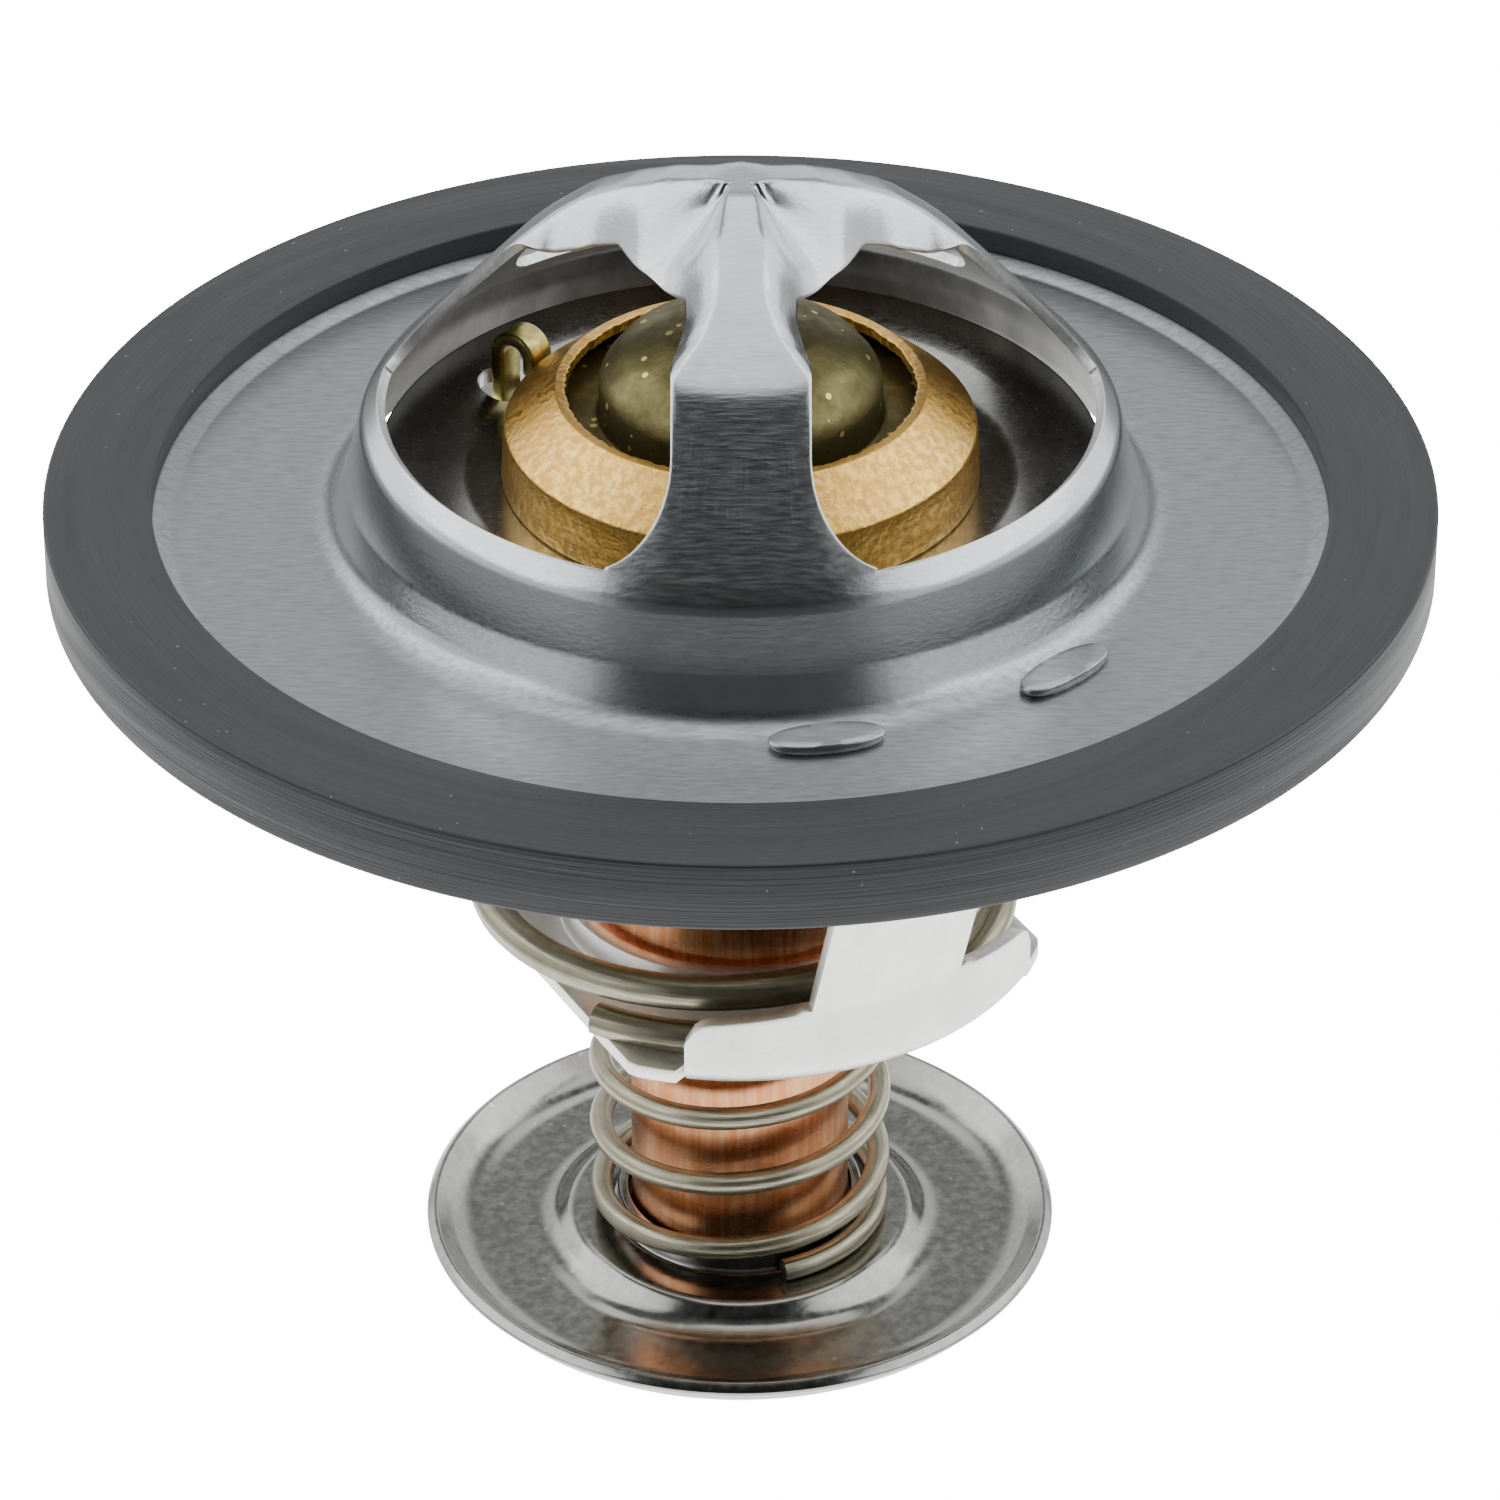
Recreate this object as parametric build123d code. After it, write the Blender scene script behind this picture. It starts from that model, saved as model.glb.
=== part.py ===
# Engine thermostat with a rubber-ringed flange, a pressed three-leg bridge and a bypass disc.
# The origin is on the axis, at the surface that the bypass disc stands on. Z points up, along the axis.
# All sizes are in millimetres. "Front" is -Y.
from build123d import *
import os
from math import atan2, cos, degrees, radians, sin, sqrt, tan

# Bypass disc
disc_radius = 16.05
disc_sheet = 0.7
disc_rim_height = 2.2
disc_rim_width = 1.9
disc_rim_lean = 0.515
disc_hub_margin = 0.975
disc_hub_rise = 1.2
disc_hub_slope = 0.9
disc_neck_height = 1.3
disc_bend = 0.9
disc_stem_clearance = 0.15

# Wax cup: a wide barrel with a flange on top and a narrow stem below
stem_radius = 5.5
barrel_radius = 8.0
cup_wall = 0.8
stem_end_gap = 0.3
cup_flange_width = 2.8
cup_flange_thickness = 1.2
cup_shoulder_bevel = 0.2

# Ring at the stem's end
clip_reach = 1.8
clip_thickness = 0.55
clip_groove_depth = 0.5

# Bypass spring, between the disc's hub and the cup's shoulder
bypass_wire = 1.15
bypass_coil_gap = 0.125
bypass_spring_length = 16.4
bypass_turns = 4.6

# Bracket: floor, guide neck, upturned wings and two leaning legs with staked tabs
bracket_azimuth = 28.0
bracket_sheet = 0.75
bracket_drop = 1.4
bracket_spring_gap = 0.875
bracket_floor_half_width = 11.4
bracket_fold_radius = 0.65
neck_height = 1.6
neck_wall = 0.75
neck_flare = 1.0
barrel_clearance = 0.3
wing_half_width = 9.6
wing_height = 4.4
wing_end_drop = 0.8
wing_round = 1.0
leg_half_width = 4.1
tab_distance = 1.1
head_half_width = 9.2
head_height = 4.5
head_slope = 3.0
tab_angle = 17.3
tab_width = 5.0
tab_head_width = 2.0
tab_head_rise = 0.45
tab_clearance = 0.1

# Main spring, between the bracket's floor and the valve plate
main_wire = 1.75
main_coil_radius = 13.1
main_coil_pin_gap = 0.825
main_spring_length = 23.9
main_turns = 5.4
wire_sides = 10

# Valve plate
valve_sheet = 0.8
valve_bend = 1.0
valve_flat_margin = 1.3
valve_lip_width = 2.18
valve_lip_rise = 0.9
seat_clearance = 0.12
seat_height = 1.4
vent_hole_radius = 1.4
vent_hole_distance = 2.5
vent_hole_azimuth = -125.0

# Vent pin
pin_width = 1.6
pin_thickness = 0.7
pin_rise = 3.0
pin_hook_radius = 1.05
pin_hook_drop = 0.8
pin_weight_radius = 1.7
pin_weight_height = 1.6
pin_play = 1.0

# Flange, collar and bridge, all one sheet
sheet = 0.8
flange_joggle = 0.35
flange_flat_width = 7.8
joggle_width = 0.9
collar_flare_width = 0.8
collar_flare_height = 2.3
collar_lean = 0.4
rim_band_width = 0.8
rim_band_height = 2.0
collar_bend = 0.9
window_rim_height = 6.6
crown_ridge = 0.8
crown_sphere_radius = 17.5
leg_run = 3.9
leg_rise = 4.7
leg_hollow = 0.7
shoulder_run = 1.7
shoulder_rise = 1.55
saddle_inner_radius = 6.0
saddle_rise = 1.45
scoop_rise = 2.9
saddle_top_radius = 0.8
saddle_hollow = 0.9
rib_top_half_width = 0.9
rib_flank_angle = 23.5
rib_depth = 3.8
rib_overrun = 1.2
bridge_leg_half_width = 3.25
bridge_waist_half_width = 2.6
bridge_waist_radius = 6.6
bridge_straight_radius = 9.2
apron_distance = 4.9
apron_half_width = 3.2
bridge_flare_lead = 0.5
bridge_flare_half_width = 6.3
bridge_flare_inset = 1.3
leg_count = 3

# Rubber rim seal
seal_cover = 2.0
seal_grip = 3.2
seal_thickness = 3.5
seal_above_flange = 1.6
seal_edge_round = 0.2

# Crimp collar, diaphragm, guide and piston
collar_wall = 0.65
collar_clearance = 0.05
collar_wall_height = 2.5
collar_lip_gap = 1.6
collar_lip_height = 5.3
collar_lip_width = 0.5
boot_flange_thickness = 1.0
boot_radius = 4.2
boot_length = 17.0
boot_floor = 1.5
guide_flange_thickness = 1.2
guide_radius = 6.8
guide_side_height = 2.3
guide_dome_rise = 2.8
piston_radius = 2.0
piston_clearance = 0.05
piston_tip_gap = 1.0
piston_seat_gap = 0.3
piston_end_round = 0.5

# Radii, each from the piece inside it
disc_bore = stem_radius + disc_stem_clearance
bypass_coil_radius = disc_bore + disc_sheet + bypass_coil_gap + bypass_wire / 2
disc_hub_radius = bypass_coil_radius + bypass_wire / 2 + disc_hub_margin
clip_radius = stem_radius + clip_reach
cup_flange_radius = barrel_radius + cup_flange_width
collar_bore = cup_flange_radius + collar_clearance
collar_radius = collar_bore + collar_wall
collar_lip_radius = guide_radius + collar_lip_gap
piston_bore = piston_radius + piston_clearance
vent_hole_offset = collar_radius + vent_hole_distance
main_coil_top_radius = vent_hole_offset - pin_weight_radius - main_coil_pin_gap - main_wire / 2
bracket_radius = main_coil_radius + main_wire / 2 + bracket_spring_gap + bracket_sheet
valve_flat_radius = vent_hole_offset + valve_flat_margin
valve_radius = valve_flat_radius + valve_lip_width
collar_top_radius = valve_radius + seat_clearance + sheet
window_rim_radius = collar_top_radius - rim_band_width
collar_foot_radius = collar_top_radius + collar_lean + collar_flare_width
leg_shoulder_radius = window_rim_radius - leg_run
saddle_outer_radius = leg_shoulder_radius - shoulder_run
bridge_flare_start = leg_shoulder_radius - bridge_flare_lead
bridge_flare_radius = window_rim_radius - bridge_flare_inset
leg_top_radius = collar_foot_radius + collar_bend + tab_distance
joggle_radius = collar_foot_radius + flange_flat_width
seal_inner_radius = joggle_radius + joggle_width
flange_radius = seal_inner_radius + seal_grip
seal_radius = flange_radius + seal_cover

# Heights, stacked up from the surface that the disc stands on
hub_top = disc_sheet + disc_hub_rise
wax_floor = disc_hub_rise + cup_wall
shoulder_z = hub_top + bypass_spring_length
floor_z = shoulder_z + bracket_drop
floor_top = floor_z + bracket_sheet
valve_bottom = floor_top + main_spring_length
valve_top = valve_bottom + valve_sheet
flange_top = valve_bottom - seat_height
flange_bottom = flange_top - sheet
joggle_top = flange_top + flange_joggle
seal_top = flange_top + seal_above_flange
seal_bottom = seal_top - seal_thickness
window_rim_z = flange_top + window_rim_height
leg_shoulder_z = window_rim_z + leg_rise
saddle_outer_z = leg_shoulder_z + shoulder_rise
saddle_inner_z = saddle_outer_z + saddle_rise
saddle_top_z = saddle_inner_z + scoop_rise
crown_z = saddle_top_z + crown_ridge
cup_top = valve_top + cup_flange_thickness
boot_top = cup_top + boot_flange_thickness
boot_bottom = cup_top - boot_length
guide_flange_top = boot_top + guide_flange_thickness
collar_lip_z = valve_top + collar_lip_height


def turned(section):
    """Revolve a section drawn in the XZ plane about the axis."""
    return revolve(Plane.XZ * section, Axis.Z)


def outline(points):
    """A face bounded by straight lines through (radius, height) points."""
    return make_face(Polyline(*points, close=True))


def ring(inner, outer, bottom, top):
    """A plain ring about the axis."""
    return turned(outline([(inner, bottom), (outer, bottom), (outer, top), (inner, top)]))


def facing(azimuth):
    """A frame on the axis whose X points away from the axis, at an angle to the right of the front."""
    return Rot(0, 0, azimuth - 90)


def coil(wire, radius, top_radius, length, turns):
    """A spring standing on z = 0, tapered where its top radius differs from its radius."""
    rise = length - wire
    taper = degrees(atan2(top_radius - radius, rise))
    spine = Helix(pitch=rise / turns, height=rise, radius=radius, cone_angle=taper)
    start = Plane(origin=spine @ 0, z_dir=spine % 0)
    return Pos(0, 0, wire / 2) * sweep(start * RegularPolygon(wire / 2, wire_sides), path=spine)


def save(shape, name):
    shape.label = name
    export_step(shape, os.path.join("parts", name + ".step"))


# Bypass disc: a flat annulus that the thermostat stands on, an upturned rim, a raised hub under the
# spring and a drawn neck that slides on the stem.
def make_bypass_disc():
    neck_radius = disc_bore + disc_sheet
    line = FilletPolyline(
        (neck_radius, hub_top + disc_neck_height),
        (neck_radius, hub_top),
        (disc_hub_radius, hub_top),
        (disc_hub_radius + disc_hub_slope, disc_sheet),
        (disc_radius - disc_rim_width, disc_sheet),
        (disc_radius - disc_rim_lean, disc_rim_height),
        radius=disc_bend,
    )
    skin = offset(line, amount=disc_sheet, side=Side.RIGHT, kind=Kind.INTERSECTION)
    return turned(make_face(skin.edges()))


# Wax cup: drawn copper, closed below, with a reduced end that carries the clip.
def make_wax_cup():
    groove_radius = stem_radius - clip_groove_depth
    stem_bore = stem_radius - cup_wall
    barrel_bore = barrel_radius - cup_wall
    section = outline(
        [
            (0, stem_end_gap),
            (groove_radius, stem_end_gap),
            (groove_radius, disc_hub_rise),
            (stem_radius, disc_hub_rise),
            (stem_radius, shoulder_z),
            (barrel_radius - cup_shoulder_bevel, shoulder_z),
            (barrel_radius, shoulder_z + cup_shoulder_bevel),
            (barrel_radius, valve_top),
            (cup_flange_radius, valve_top),
            (cup_flange_radius, cup_top),
            (barrel_bore, cup_top),
            (barrel_bore, shoulder_z + cup_wall),
            (stem_bore, shoulder_z + cup_wall),
            (stem_bore, wax_floor),
            (0, wax_floor),
        ]
    )
    return turned(section)


# Diaphragm and boot: a rubber disc clamped on the cup's flange, with a blind sleeve round the piston.
def make_rubber_boot():
    section = outline(
        [
            (0, boot_bottom),
            (boot_radius, boot_bottom),
            (boot_radius, cup_top),
            (cup_flange_radius, cup_top),
            (cup_flange_radius, boot_top),
            (piston_bore, boot_top),
            (piston_bore, boot_bottom + boot_floor),
            (0, boot_bottom + boot_floor),
        ]
    )
    return turned(section)


# Wax charge: it fills what the boot leaves free in the cup.
def make_wax_pellet():
    stem_bore = stem_radius - cup_wall
    barrel_bore = barrel_radius - cup_wall
    section = outline(
        [
            (0, wax_floor),
            (stem_bore, wax_floor),
            (stem_bore, shoulder_z + cup_wall),
            (barrel_bore, shoulder_z + cup_wall),
            (barrel_bore, cup_top),
            (boot_radius, cup_top),
            (boot_radius, boot_bottom),
            (0, boot_bottom),
        ]
    )
    return turned(section)


# Piston guide: a clamped flange, a short cylinder and a dome with the piston's bore.
def make_piston_guide():
    side_top = guide_flange_top + guide_side_height
    dome_radius = (guide_radius**2 + guide_dome_rise**2) / (2 * guide_dome_rise)
    bore = piston_bore
    dome_centre = side_top + guide_dome_rise - dome_radius
    dome_edge = dome_centre + sqrt(dome_radius**2 - bore**2)
    dome_middle = (guide_radius + bore) / 2
    dome_middle_z = dome_centre + sqrt(dome_radius**2 - dome_middle**2)
    edges = Polyline(
        (bore, dome_edge),
        (bore, boot_top),
        (cup_flange_radius, boot_top),
        (cup_flange_radius, guide_flange_top),
        (guide_radius, guide_flange_top),
        (guide_radius, side_top),
    )
    dome = ThreePointArc((guide_radius, side_top), (dome_middle, dome_middle_z), (bore, dome_edge))
    return turned(make_face([*edges.edges(), dome]))


# Crimp collar: a brass ring round the flanges of cup, boot and guide, its top rolled inwards as a cone.
def make_crimp_collar():
    section = outline(
        [
            (collar_bore, valve_top),
            (collar_radius, valve_top),
            (collar_radius, valve_top + collar_wall_height),
            (collar_lip_radius + collar_lip_width, collar_lip_z),
            (collar_lip_radius, collar_lip_z),
            (collar_lip_radius, collar_lip_z - collar_lip_width),
            (collar_bore - collar_lip_width, guide_flange_top),
            (collar_bore, guide_flange_top),
        ]
    )
    return turned(section)


# Stem clip: a ring in the stem's groove, in the recess under the disc's hub.
def make_stem_clip():
    clip_bottom = disc_hub_rise - clip_thickness
    return ring(stem_radius - clip_groove_depth, clip_radius, clip_bottom, disc_hub_rise)


# Flange, collar and bridge: the sheet's outer line in section, from the crown out to the flange's edge.
def bridge_line():
    leg_middle_radius = (leg_shoulder_radius + window_rim_radius) / 2
    leg_middle_z = (leg_shoulder_z + window_rim_z) / 2 - leg_hollow
    saddle_middle_radius = (saddle_top_radius + saddle_inner_radius) / 2 - saddle_hollow / 2
    saddle_middle_z = (saddle_top_z + saddle_inner_z) / 2 - saddle_hollow / 2
    top = Line((0, saddle_top_z), (saddle_top_radius, saddle_top_z))
    scoop = ThreePointArc(
        top @ 1,
        (saddle_middle_radius, saddle_middle_z),
        (saddle_inner_radius, saddle_inner_z),
    )
    saddle = Line(scoop @ 1, (saddle_outer_radius, saddle_outer_z))
    shoulder = Line(saddle @ 1, (leg_shoulder_radius, leg_shoulder_z))
    leg = ThreePointArc(
        shoulder @ 1, (leg_middle_radius, leg_middle_z), (window_rim_radius, window_rim_z)
    )
    collar = FilletPolyline(
        leg @ 1,
        (collar_top_radius, window_rim_z - rim_band_height),
        (collar_top_radius + collar_lean, flange_top + collar_flare_height),
        (collar_foot_radius, flange_top),
        (joggle_radius, flange_top),
        radius=collar_bend,
    )
    edge = Polyline(collar @ 1, (joggle_radius + joggle_width, joggle_top), (flange_radius, joggle_top))
    return [*top.edges(), *scoop.edges(), *saddle.edges(), *shoulder.edges(), *leg.edges(),
            *collar.edges(), *edge.edges()]


def below(line_edges, base):
    """The face between an outline, which starts on the axis, and a flat base."""
    line = Wire(line_edges)
    far = line @ 1
    closing = Polyline(far, (far.X, base), (0, base), line @ 0)
    return make_face([*line_edges, *closing.edges()])


def sheet_section():
    """The sheet's thickness under the bridge line."""
    skin = offset(Wire(bridge_line()), amount=sheet, side=Side.RIGHT, kind=Kind.INTERSECTION)
    return make_face(skin.edges())


def bridge_legs(shape):
    """Copies of a shape at every leg of the bridge. The first leg is at the front."""
    return [Rot(0, 0, 360 / leg_count * i) * shape for i in range(leg_count)]


def fused(shapes):
    """One solid from overlapping solids."""
    first, *others = shapes
    for other in others:
        first = first + other
    return first


def ribs(inset):
    """The three pressed ribs, wedges cut by one sphere, with their skin moved inwards by the inset."""
    spread = tan(radians(rib_flank_angle))
    half_at_crown = rib_top_half_width - inset / cos(radians(rib_flank_angle))
    foot_z = leg_shoulder_z - rib_depth
    foot_half = half_at_crown + (crown_z - foot_z) * spread
    ridge_z = crown_z + half_at_crown / spread
    wedge = outline([(-foot_half, foot_z), (foot_half, foot_z), (0, ridge_z)])
    overrun = rib_overrun - inset
    bar = Pos(0, overrun, 0) * extrude(Plane.XZ * wedge, amount=leg_shoulder_radius + overrun)
    ball = Pos(0, 0, crown_z - crown_sphere_radius) * Rot(90, 0, 0) * Sphere(crown_sphere_radius - inset)
    return fused(bridge_legs(bar)) & ball


def window_point(along, aside):
    """A point given along and beside a leg, in the frame of the next window."""
    half_turn = radians(180 / leg_count)
    return (
        along * cos(half_turn) + aside * sin(half_turn),
        along * sin(half_turn) - aside * cos(half_turn),
    )


def window_cut():
    """One window of the bridge, centred on X, cut straight down to the window rim."""
    waist = window_point(bridge_waist_radius, bridge_waist_half_width)
    start = window_point(bridge_straight_radius, bridge_leg_half_width)
    bend = window_point(bridge_flare_start, bridge_leg_half_width)
    corner = window_point(bridge_flare_radius, bridge_flare_half_width)
    outside = (corner[0] * 2, corner[1] * 2)
    leg_direction = (bend[0] - start[0], bend[1] - start[1])
    edge = Polyline((apron_distance, 0), (apron_distance, apron_half_width), waist, start, bend)
    flare = TangentArc(bend, corner, tangent=leg_direction)
    way_out = Polyline(corner, outside, (outside[0], 0), (apron_distance, 0))
    half = make_face([*edge.edges(), *flare.edges(), *way_out.edges()])
    plan = half + mirror(half, Plane.XZ)
    return Pos(0, 0, window_rim_z) * extrude(plan, amount=crown_z - window_rim_z)


def tab_places():
    """Frames at the four staked tabs, X pointing away from the axis."""
    radius = leg_top_radius - bracket_sheet / 2
    sides = [bracket_azimuth + side + turn for turn in (0, 180) for side in (-tab_angle, tab_angle)]
    return [facing(azimuth) * Pos(radius, 0, 0) for azimuth in sides]


def make_flange_bridge():
    outside = below(bridge_line(), seal_bottom)
    stamping = turned(outside) + ribs(0)
    stamping -= turned(outside - sheet_section())
    stamping -= ribs(sheet)
    first_window = -90 + 180 / leg_count
    for window in bridge_legs(Rot(0, 0, first_window) * window_cut()):
        stamping -= window
    slot = Box(bracket_sheet + 2 * tab_clearance, tab_width + 2 * tab_clearance, 4 * sheet)
    for place in tab_places():
        stamping -= Pos(0, 0, flange_top) * place * slot
    return stamping


# Rubber rim seal: moulded round the flange's edge.
def make_rim_seal():
    block = Pos((seal_inner_radius + seal_radius) / 2, (seal_top + seal_bottom) / 2) * Rectangle(
        seal_radius - seal_inner_radius, seal_thickness
    )
    outer_corners = block.vertices().sort_by(Axis.X)[-2:]
    return turned(fillet(outer_corners, seal_edge_round) - sheet_section())


# Bracket: a floor with a drawn neck, wings folded up round the spring, and two legs that lean outwards
# to the flange, where tabs pass through slots and are staked over.
def make_bracket():
    leg_foot_z = floor_z + wing_height
    lean = (leg_top_radius - bracket_radius) / (flange_bottom - leg_foot_z)
    inner_foot_z = leg_foot_z + bracket_sheet * lean / 2
    wall = turned(
        outline(
            [
                (bracket_radius, floor_z),
                (bracket_radius, leg_foot_z),
                (leg_top_radius, flange_bottom),
                (leg_top_radius - bracket_sheet, flange_bottom),
                (bracket_radius - bracket_sheet, inner_foot_z),
                (bracket_radius - bracket_sheet, floor_z),
            ]
        )
    )
    head_z = flange_bottom - head_height
    wing_top_z = leg_foot_z - wing_end_drop
    front = outline(
        [
            (-wing_half_width, floor_z),
            (wing_half_width, floor_z),
            (wing_half_width, wing_top_z),
            (leg_half_width, leg_foot_z),
            (leg_half_width, head_z - head_slope),
            (head_half_width, head_z),
            (head_half_width, flange_bottom),
            (-head_half_width, flange_bottom),
            (-head_half_width, head_z),
            (-leg_half_width, head_z - head_slope),
            (-leg_half_width, leg_foot_z),
            (-wing_half_width, wing_top_z),
        ]
    )
    rounded_at = [
        (side * x, z, 0)
        for side in (-1, 1)
        for x, z in ((wing_half_width, wing_top_z), (leg_half_width, leg_foot_z))
    ]
    corners = [front.vertices().sort_by_distance(point)[0] for point in rounded_at]
    legs = wall & extrude(Plane.XZ * fillet(corners, wing_round), amount=leg_top_radius, both=True)
    floor_plan = Circle(bracket_radius) & Rectangle(2 * bracket_floor_half_width, 4 * bracket_radius)
    floor = Pos(0, 0, floor_z) * extrude(floor_plan, amount=bracket_sheet)
    bore = barrel_radius + barrel_clearance
    neck = turned(
        outline(
            [
                (bore, floor_z),
                (bore + neck_wall + neck_flare, floor_z),
                (bore + neck_wall + neck_flare, floor_top),
                (bore + neck_wall, floor_top + neck_flare),
                (bore + neck_wall, floor_top + neck_height),
                (bore, floor_top + neck_height),
            ]
        )
    )
    stirrup = legs + floor + neck
    stirrup -= Pos(0, 0, floor_z) * Cylinder(bore, 4 * neck_height)
    underside = stirrup.faces().sort_by(Axis.Z)[0]
    fold = underside.edges().filter_by(GeomType.CIRCLE).group_by(SortBy.RADIUS)[-1]
    stirrup = Rot(0, 0, bracket_azimuth) * fillet(fold, bracket_fold_radius)
    rise = flange_top + tab_head_rise - flange_bottom
    tab = Pos(0, 0, flange_bottom + rise / 2) * Box(bracket_sheet, tab_width, rise)
    head = Pos(0, 0, flange_top) * extrude(
        Rot(0, 0, 90) * SlotOverall(tab_width + tab_head_rise, tab_head_width), amount=tab_head_rise
    )
    return stirrup + [place * (tab + head) for place in tab_places()]


# Valve plate: a flat disc round the cup's barrel, its dished lip closing against the collar's step.
def vent_place():
    """A frame at the vent hole, X pointing away from the axis."""
    return facing(vent_hole_azimuth) * Pos(vent_hole_offset, 0, 0)


def make_valve_plate():
    section = outline(
        [
            (barrel_radius, valve_bottom),
            (valve_flat_radius, valve_bottom),
            (valve_radius, valve_bottom + valve_lip_rise),
            (valve_radius, valve_top + valve_lip_rise),
            (valve_flat_radius - valve_sheet / 2, valve_top),
            (barrel_radius, valve_top),
        ]
    )
    bends = section.vertices().sort_by(lambda corner: abs(corner.X - valve_flat_radius))[:2]
    plate = turned(fillet(bends, valve_bend))
    return plate - vent_place() * Pos(0, 0, valve_top) * Cylinder(vent_hole_radius, 4 * valve_sheet)


# Vent pin: a flat strip through the plate's hole, curled over above it, with a weight below.
def make_jiggle_pin():
    weight_z = valve_bottom - pin_play - pin_weight_height / 2
    hook_z = valve_top + pin_rise
    hook_width = 2 * pin_hook_radius
    stem = Line((0, weight_z), (0, hook_z))
    curl = ThreePointArc((0, hook_z), (pin_hook_radius, hook_z + pin_hook_radius), (hook_width, hook_z))
    tip = Line((hook_width, hook_z), (hook_width, hook_z - pin_hook_drop))
    strip = trace([*stem.edges(), *curl.edges(), *tip.edges()], line_width=pin_thickness)
    hook = extrude(Plane.XZ * strip, amount=pin_width / 2, both=True)
    weight = Pos(0, 0, weight_z) * Cylinder(pin_weight_radius, pin_weight_height)
    middle = (vent_place() * Vertex(0, 0, 0)).center()
    return Pos(middle.X, middle.Y, 0) * (hook + weight)


# Piston: a rod from the boot up to the bridge, its tip shaped to the hollow of the crown.
def make_piston():
    bottom = boot_bottom + boot_floor + piston_tip_gap
    hollow = below(bridge_line(), bottom) - sheet_section()
    half = Pos(piston_radius / 2, (bottom + crown_z) / 2) * Rectangle(piston_radius, crown_z - bottom)
    foot_corner = half.vertices().sort_by(Axis.Y)[:2].sort_by(Axis.X)[-1]
    half = fillet(foot_corner, piston_end_round)
    return turned(half & Pos(0, -piston_seat_gap) * hollow)


os.makedirs("parts", exist_ok=True)
save(make_flange_bridge(), "flange_bridge")
save(make_rim_seal(), "rim_seal")
save(make_bracket(), "bracket")
save(make_piston(), "piston")
save(make_valve_plate(), "valve_plate")
save(make_wax_cup(), "wax_cup")
save(make_wax_pellet(), "wax_pellet")
save(make_rubber_boot(), "rubber_boot")
save(make_piston_guide(), "piston_guide")
save(make_crimp_collar(), "crimp_collar")
save(make_stem_clip(), "stem_clip")
save(make_bypass_disc(), "bypass_disc")
save(make_jiggle_pin(), "jiggle_pin")
main_coil = coil(main_wire, main_coil_radius, main_coil_top_radius, main_spring_length, main_turns)
save(Pos(0, 0, floor_top) * main_coil, "main_spring")
bypass_coil = coil(
    bypass_wire, bypass_coil_radius, bypass_coil_radius, bypass_spring_length, bypass_turns
)
save(Pos(0, 0, hub_top) * bypass_coil, "bypass_spring")
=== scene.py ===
import math

import bmesh
import bpy
import numpy as np
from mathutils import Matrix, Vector


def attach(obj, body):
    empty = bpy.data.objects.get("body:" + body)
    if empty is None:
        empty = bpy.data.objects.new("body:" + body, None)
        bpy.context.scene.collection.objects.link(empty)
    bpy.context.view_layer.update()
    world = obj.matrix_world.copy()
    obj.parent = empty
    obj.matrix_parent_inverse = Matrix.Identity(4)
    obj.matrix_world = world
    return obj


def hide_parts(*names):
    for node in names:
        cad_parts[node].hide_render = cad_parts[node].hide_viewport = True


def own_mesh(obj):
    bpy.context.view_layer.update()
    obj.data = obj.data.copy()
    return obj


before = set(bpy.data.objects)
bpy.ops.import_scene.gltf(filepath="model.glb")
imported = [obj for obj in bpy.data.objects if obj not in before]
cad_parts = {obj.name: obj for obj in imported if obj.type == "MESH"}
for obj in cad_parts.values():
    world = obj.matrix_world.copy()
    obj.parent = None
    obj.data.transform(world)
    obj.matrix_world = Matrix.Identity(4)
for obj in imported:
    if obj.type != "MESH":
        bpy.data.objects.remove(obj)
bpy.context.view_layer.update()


# Flange, collar and bridge: one blank of stainless sheet, drawn up into a collar in the middle.
# The top is pressed into three ridged legs that meet at the crown, and three windows are punched
# out between them. The sheet's cut edge round each window is painted near white: a painted highlight.
MM = 0.001


def add_node(tree, kind, sockets=None, **settings):
    made = tree.nodes.new(kind)
    for key, value in settings.items():
        setattr(made, key, value)
    for key, value in (sockets or {}).items():
        if isinstance(value, bpy.types.NodeSocket):
            tree.links.new(value, made.inputs[key])
        else:
            made.inputs[key].default_value = value
    return made


def figure(tree, operation, *values):
    """A number socket worked out from numbers and other sockets."""
    made = add_node(tree, "ShaderNodeMath", dict(enumerate(values)), operation=operation)
    return made.outputs[0]


def effect(name, inputs, output):
    """An empty shader group with number or vector inputs and one number output."""
    tree = bpy.data.node_groups.new(name, "ShaderNodeTree")
    for label, kind, value in inputs:
        socket = tree.interface.new_socket(label, in_out="INPUT", socket_type=kind)
        socket.default_value = value
    tree.interface.new_socket(output, in_out="OUTPUT", socket_type="NodeSocketFloat")
    return tree, tree.nodes.new("NodeGroupInput"), tree.nodes.new("NodeGroupOutput")


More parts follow.
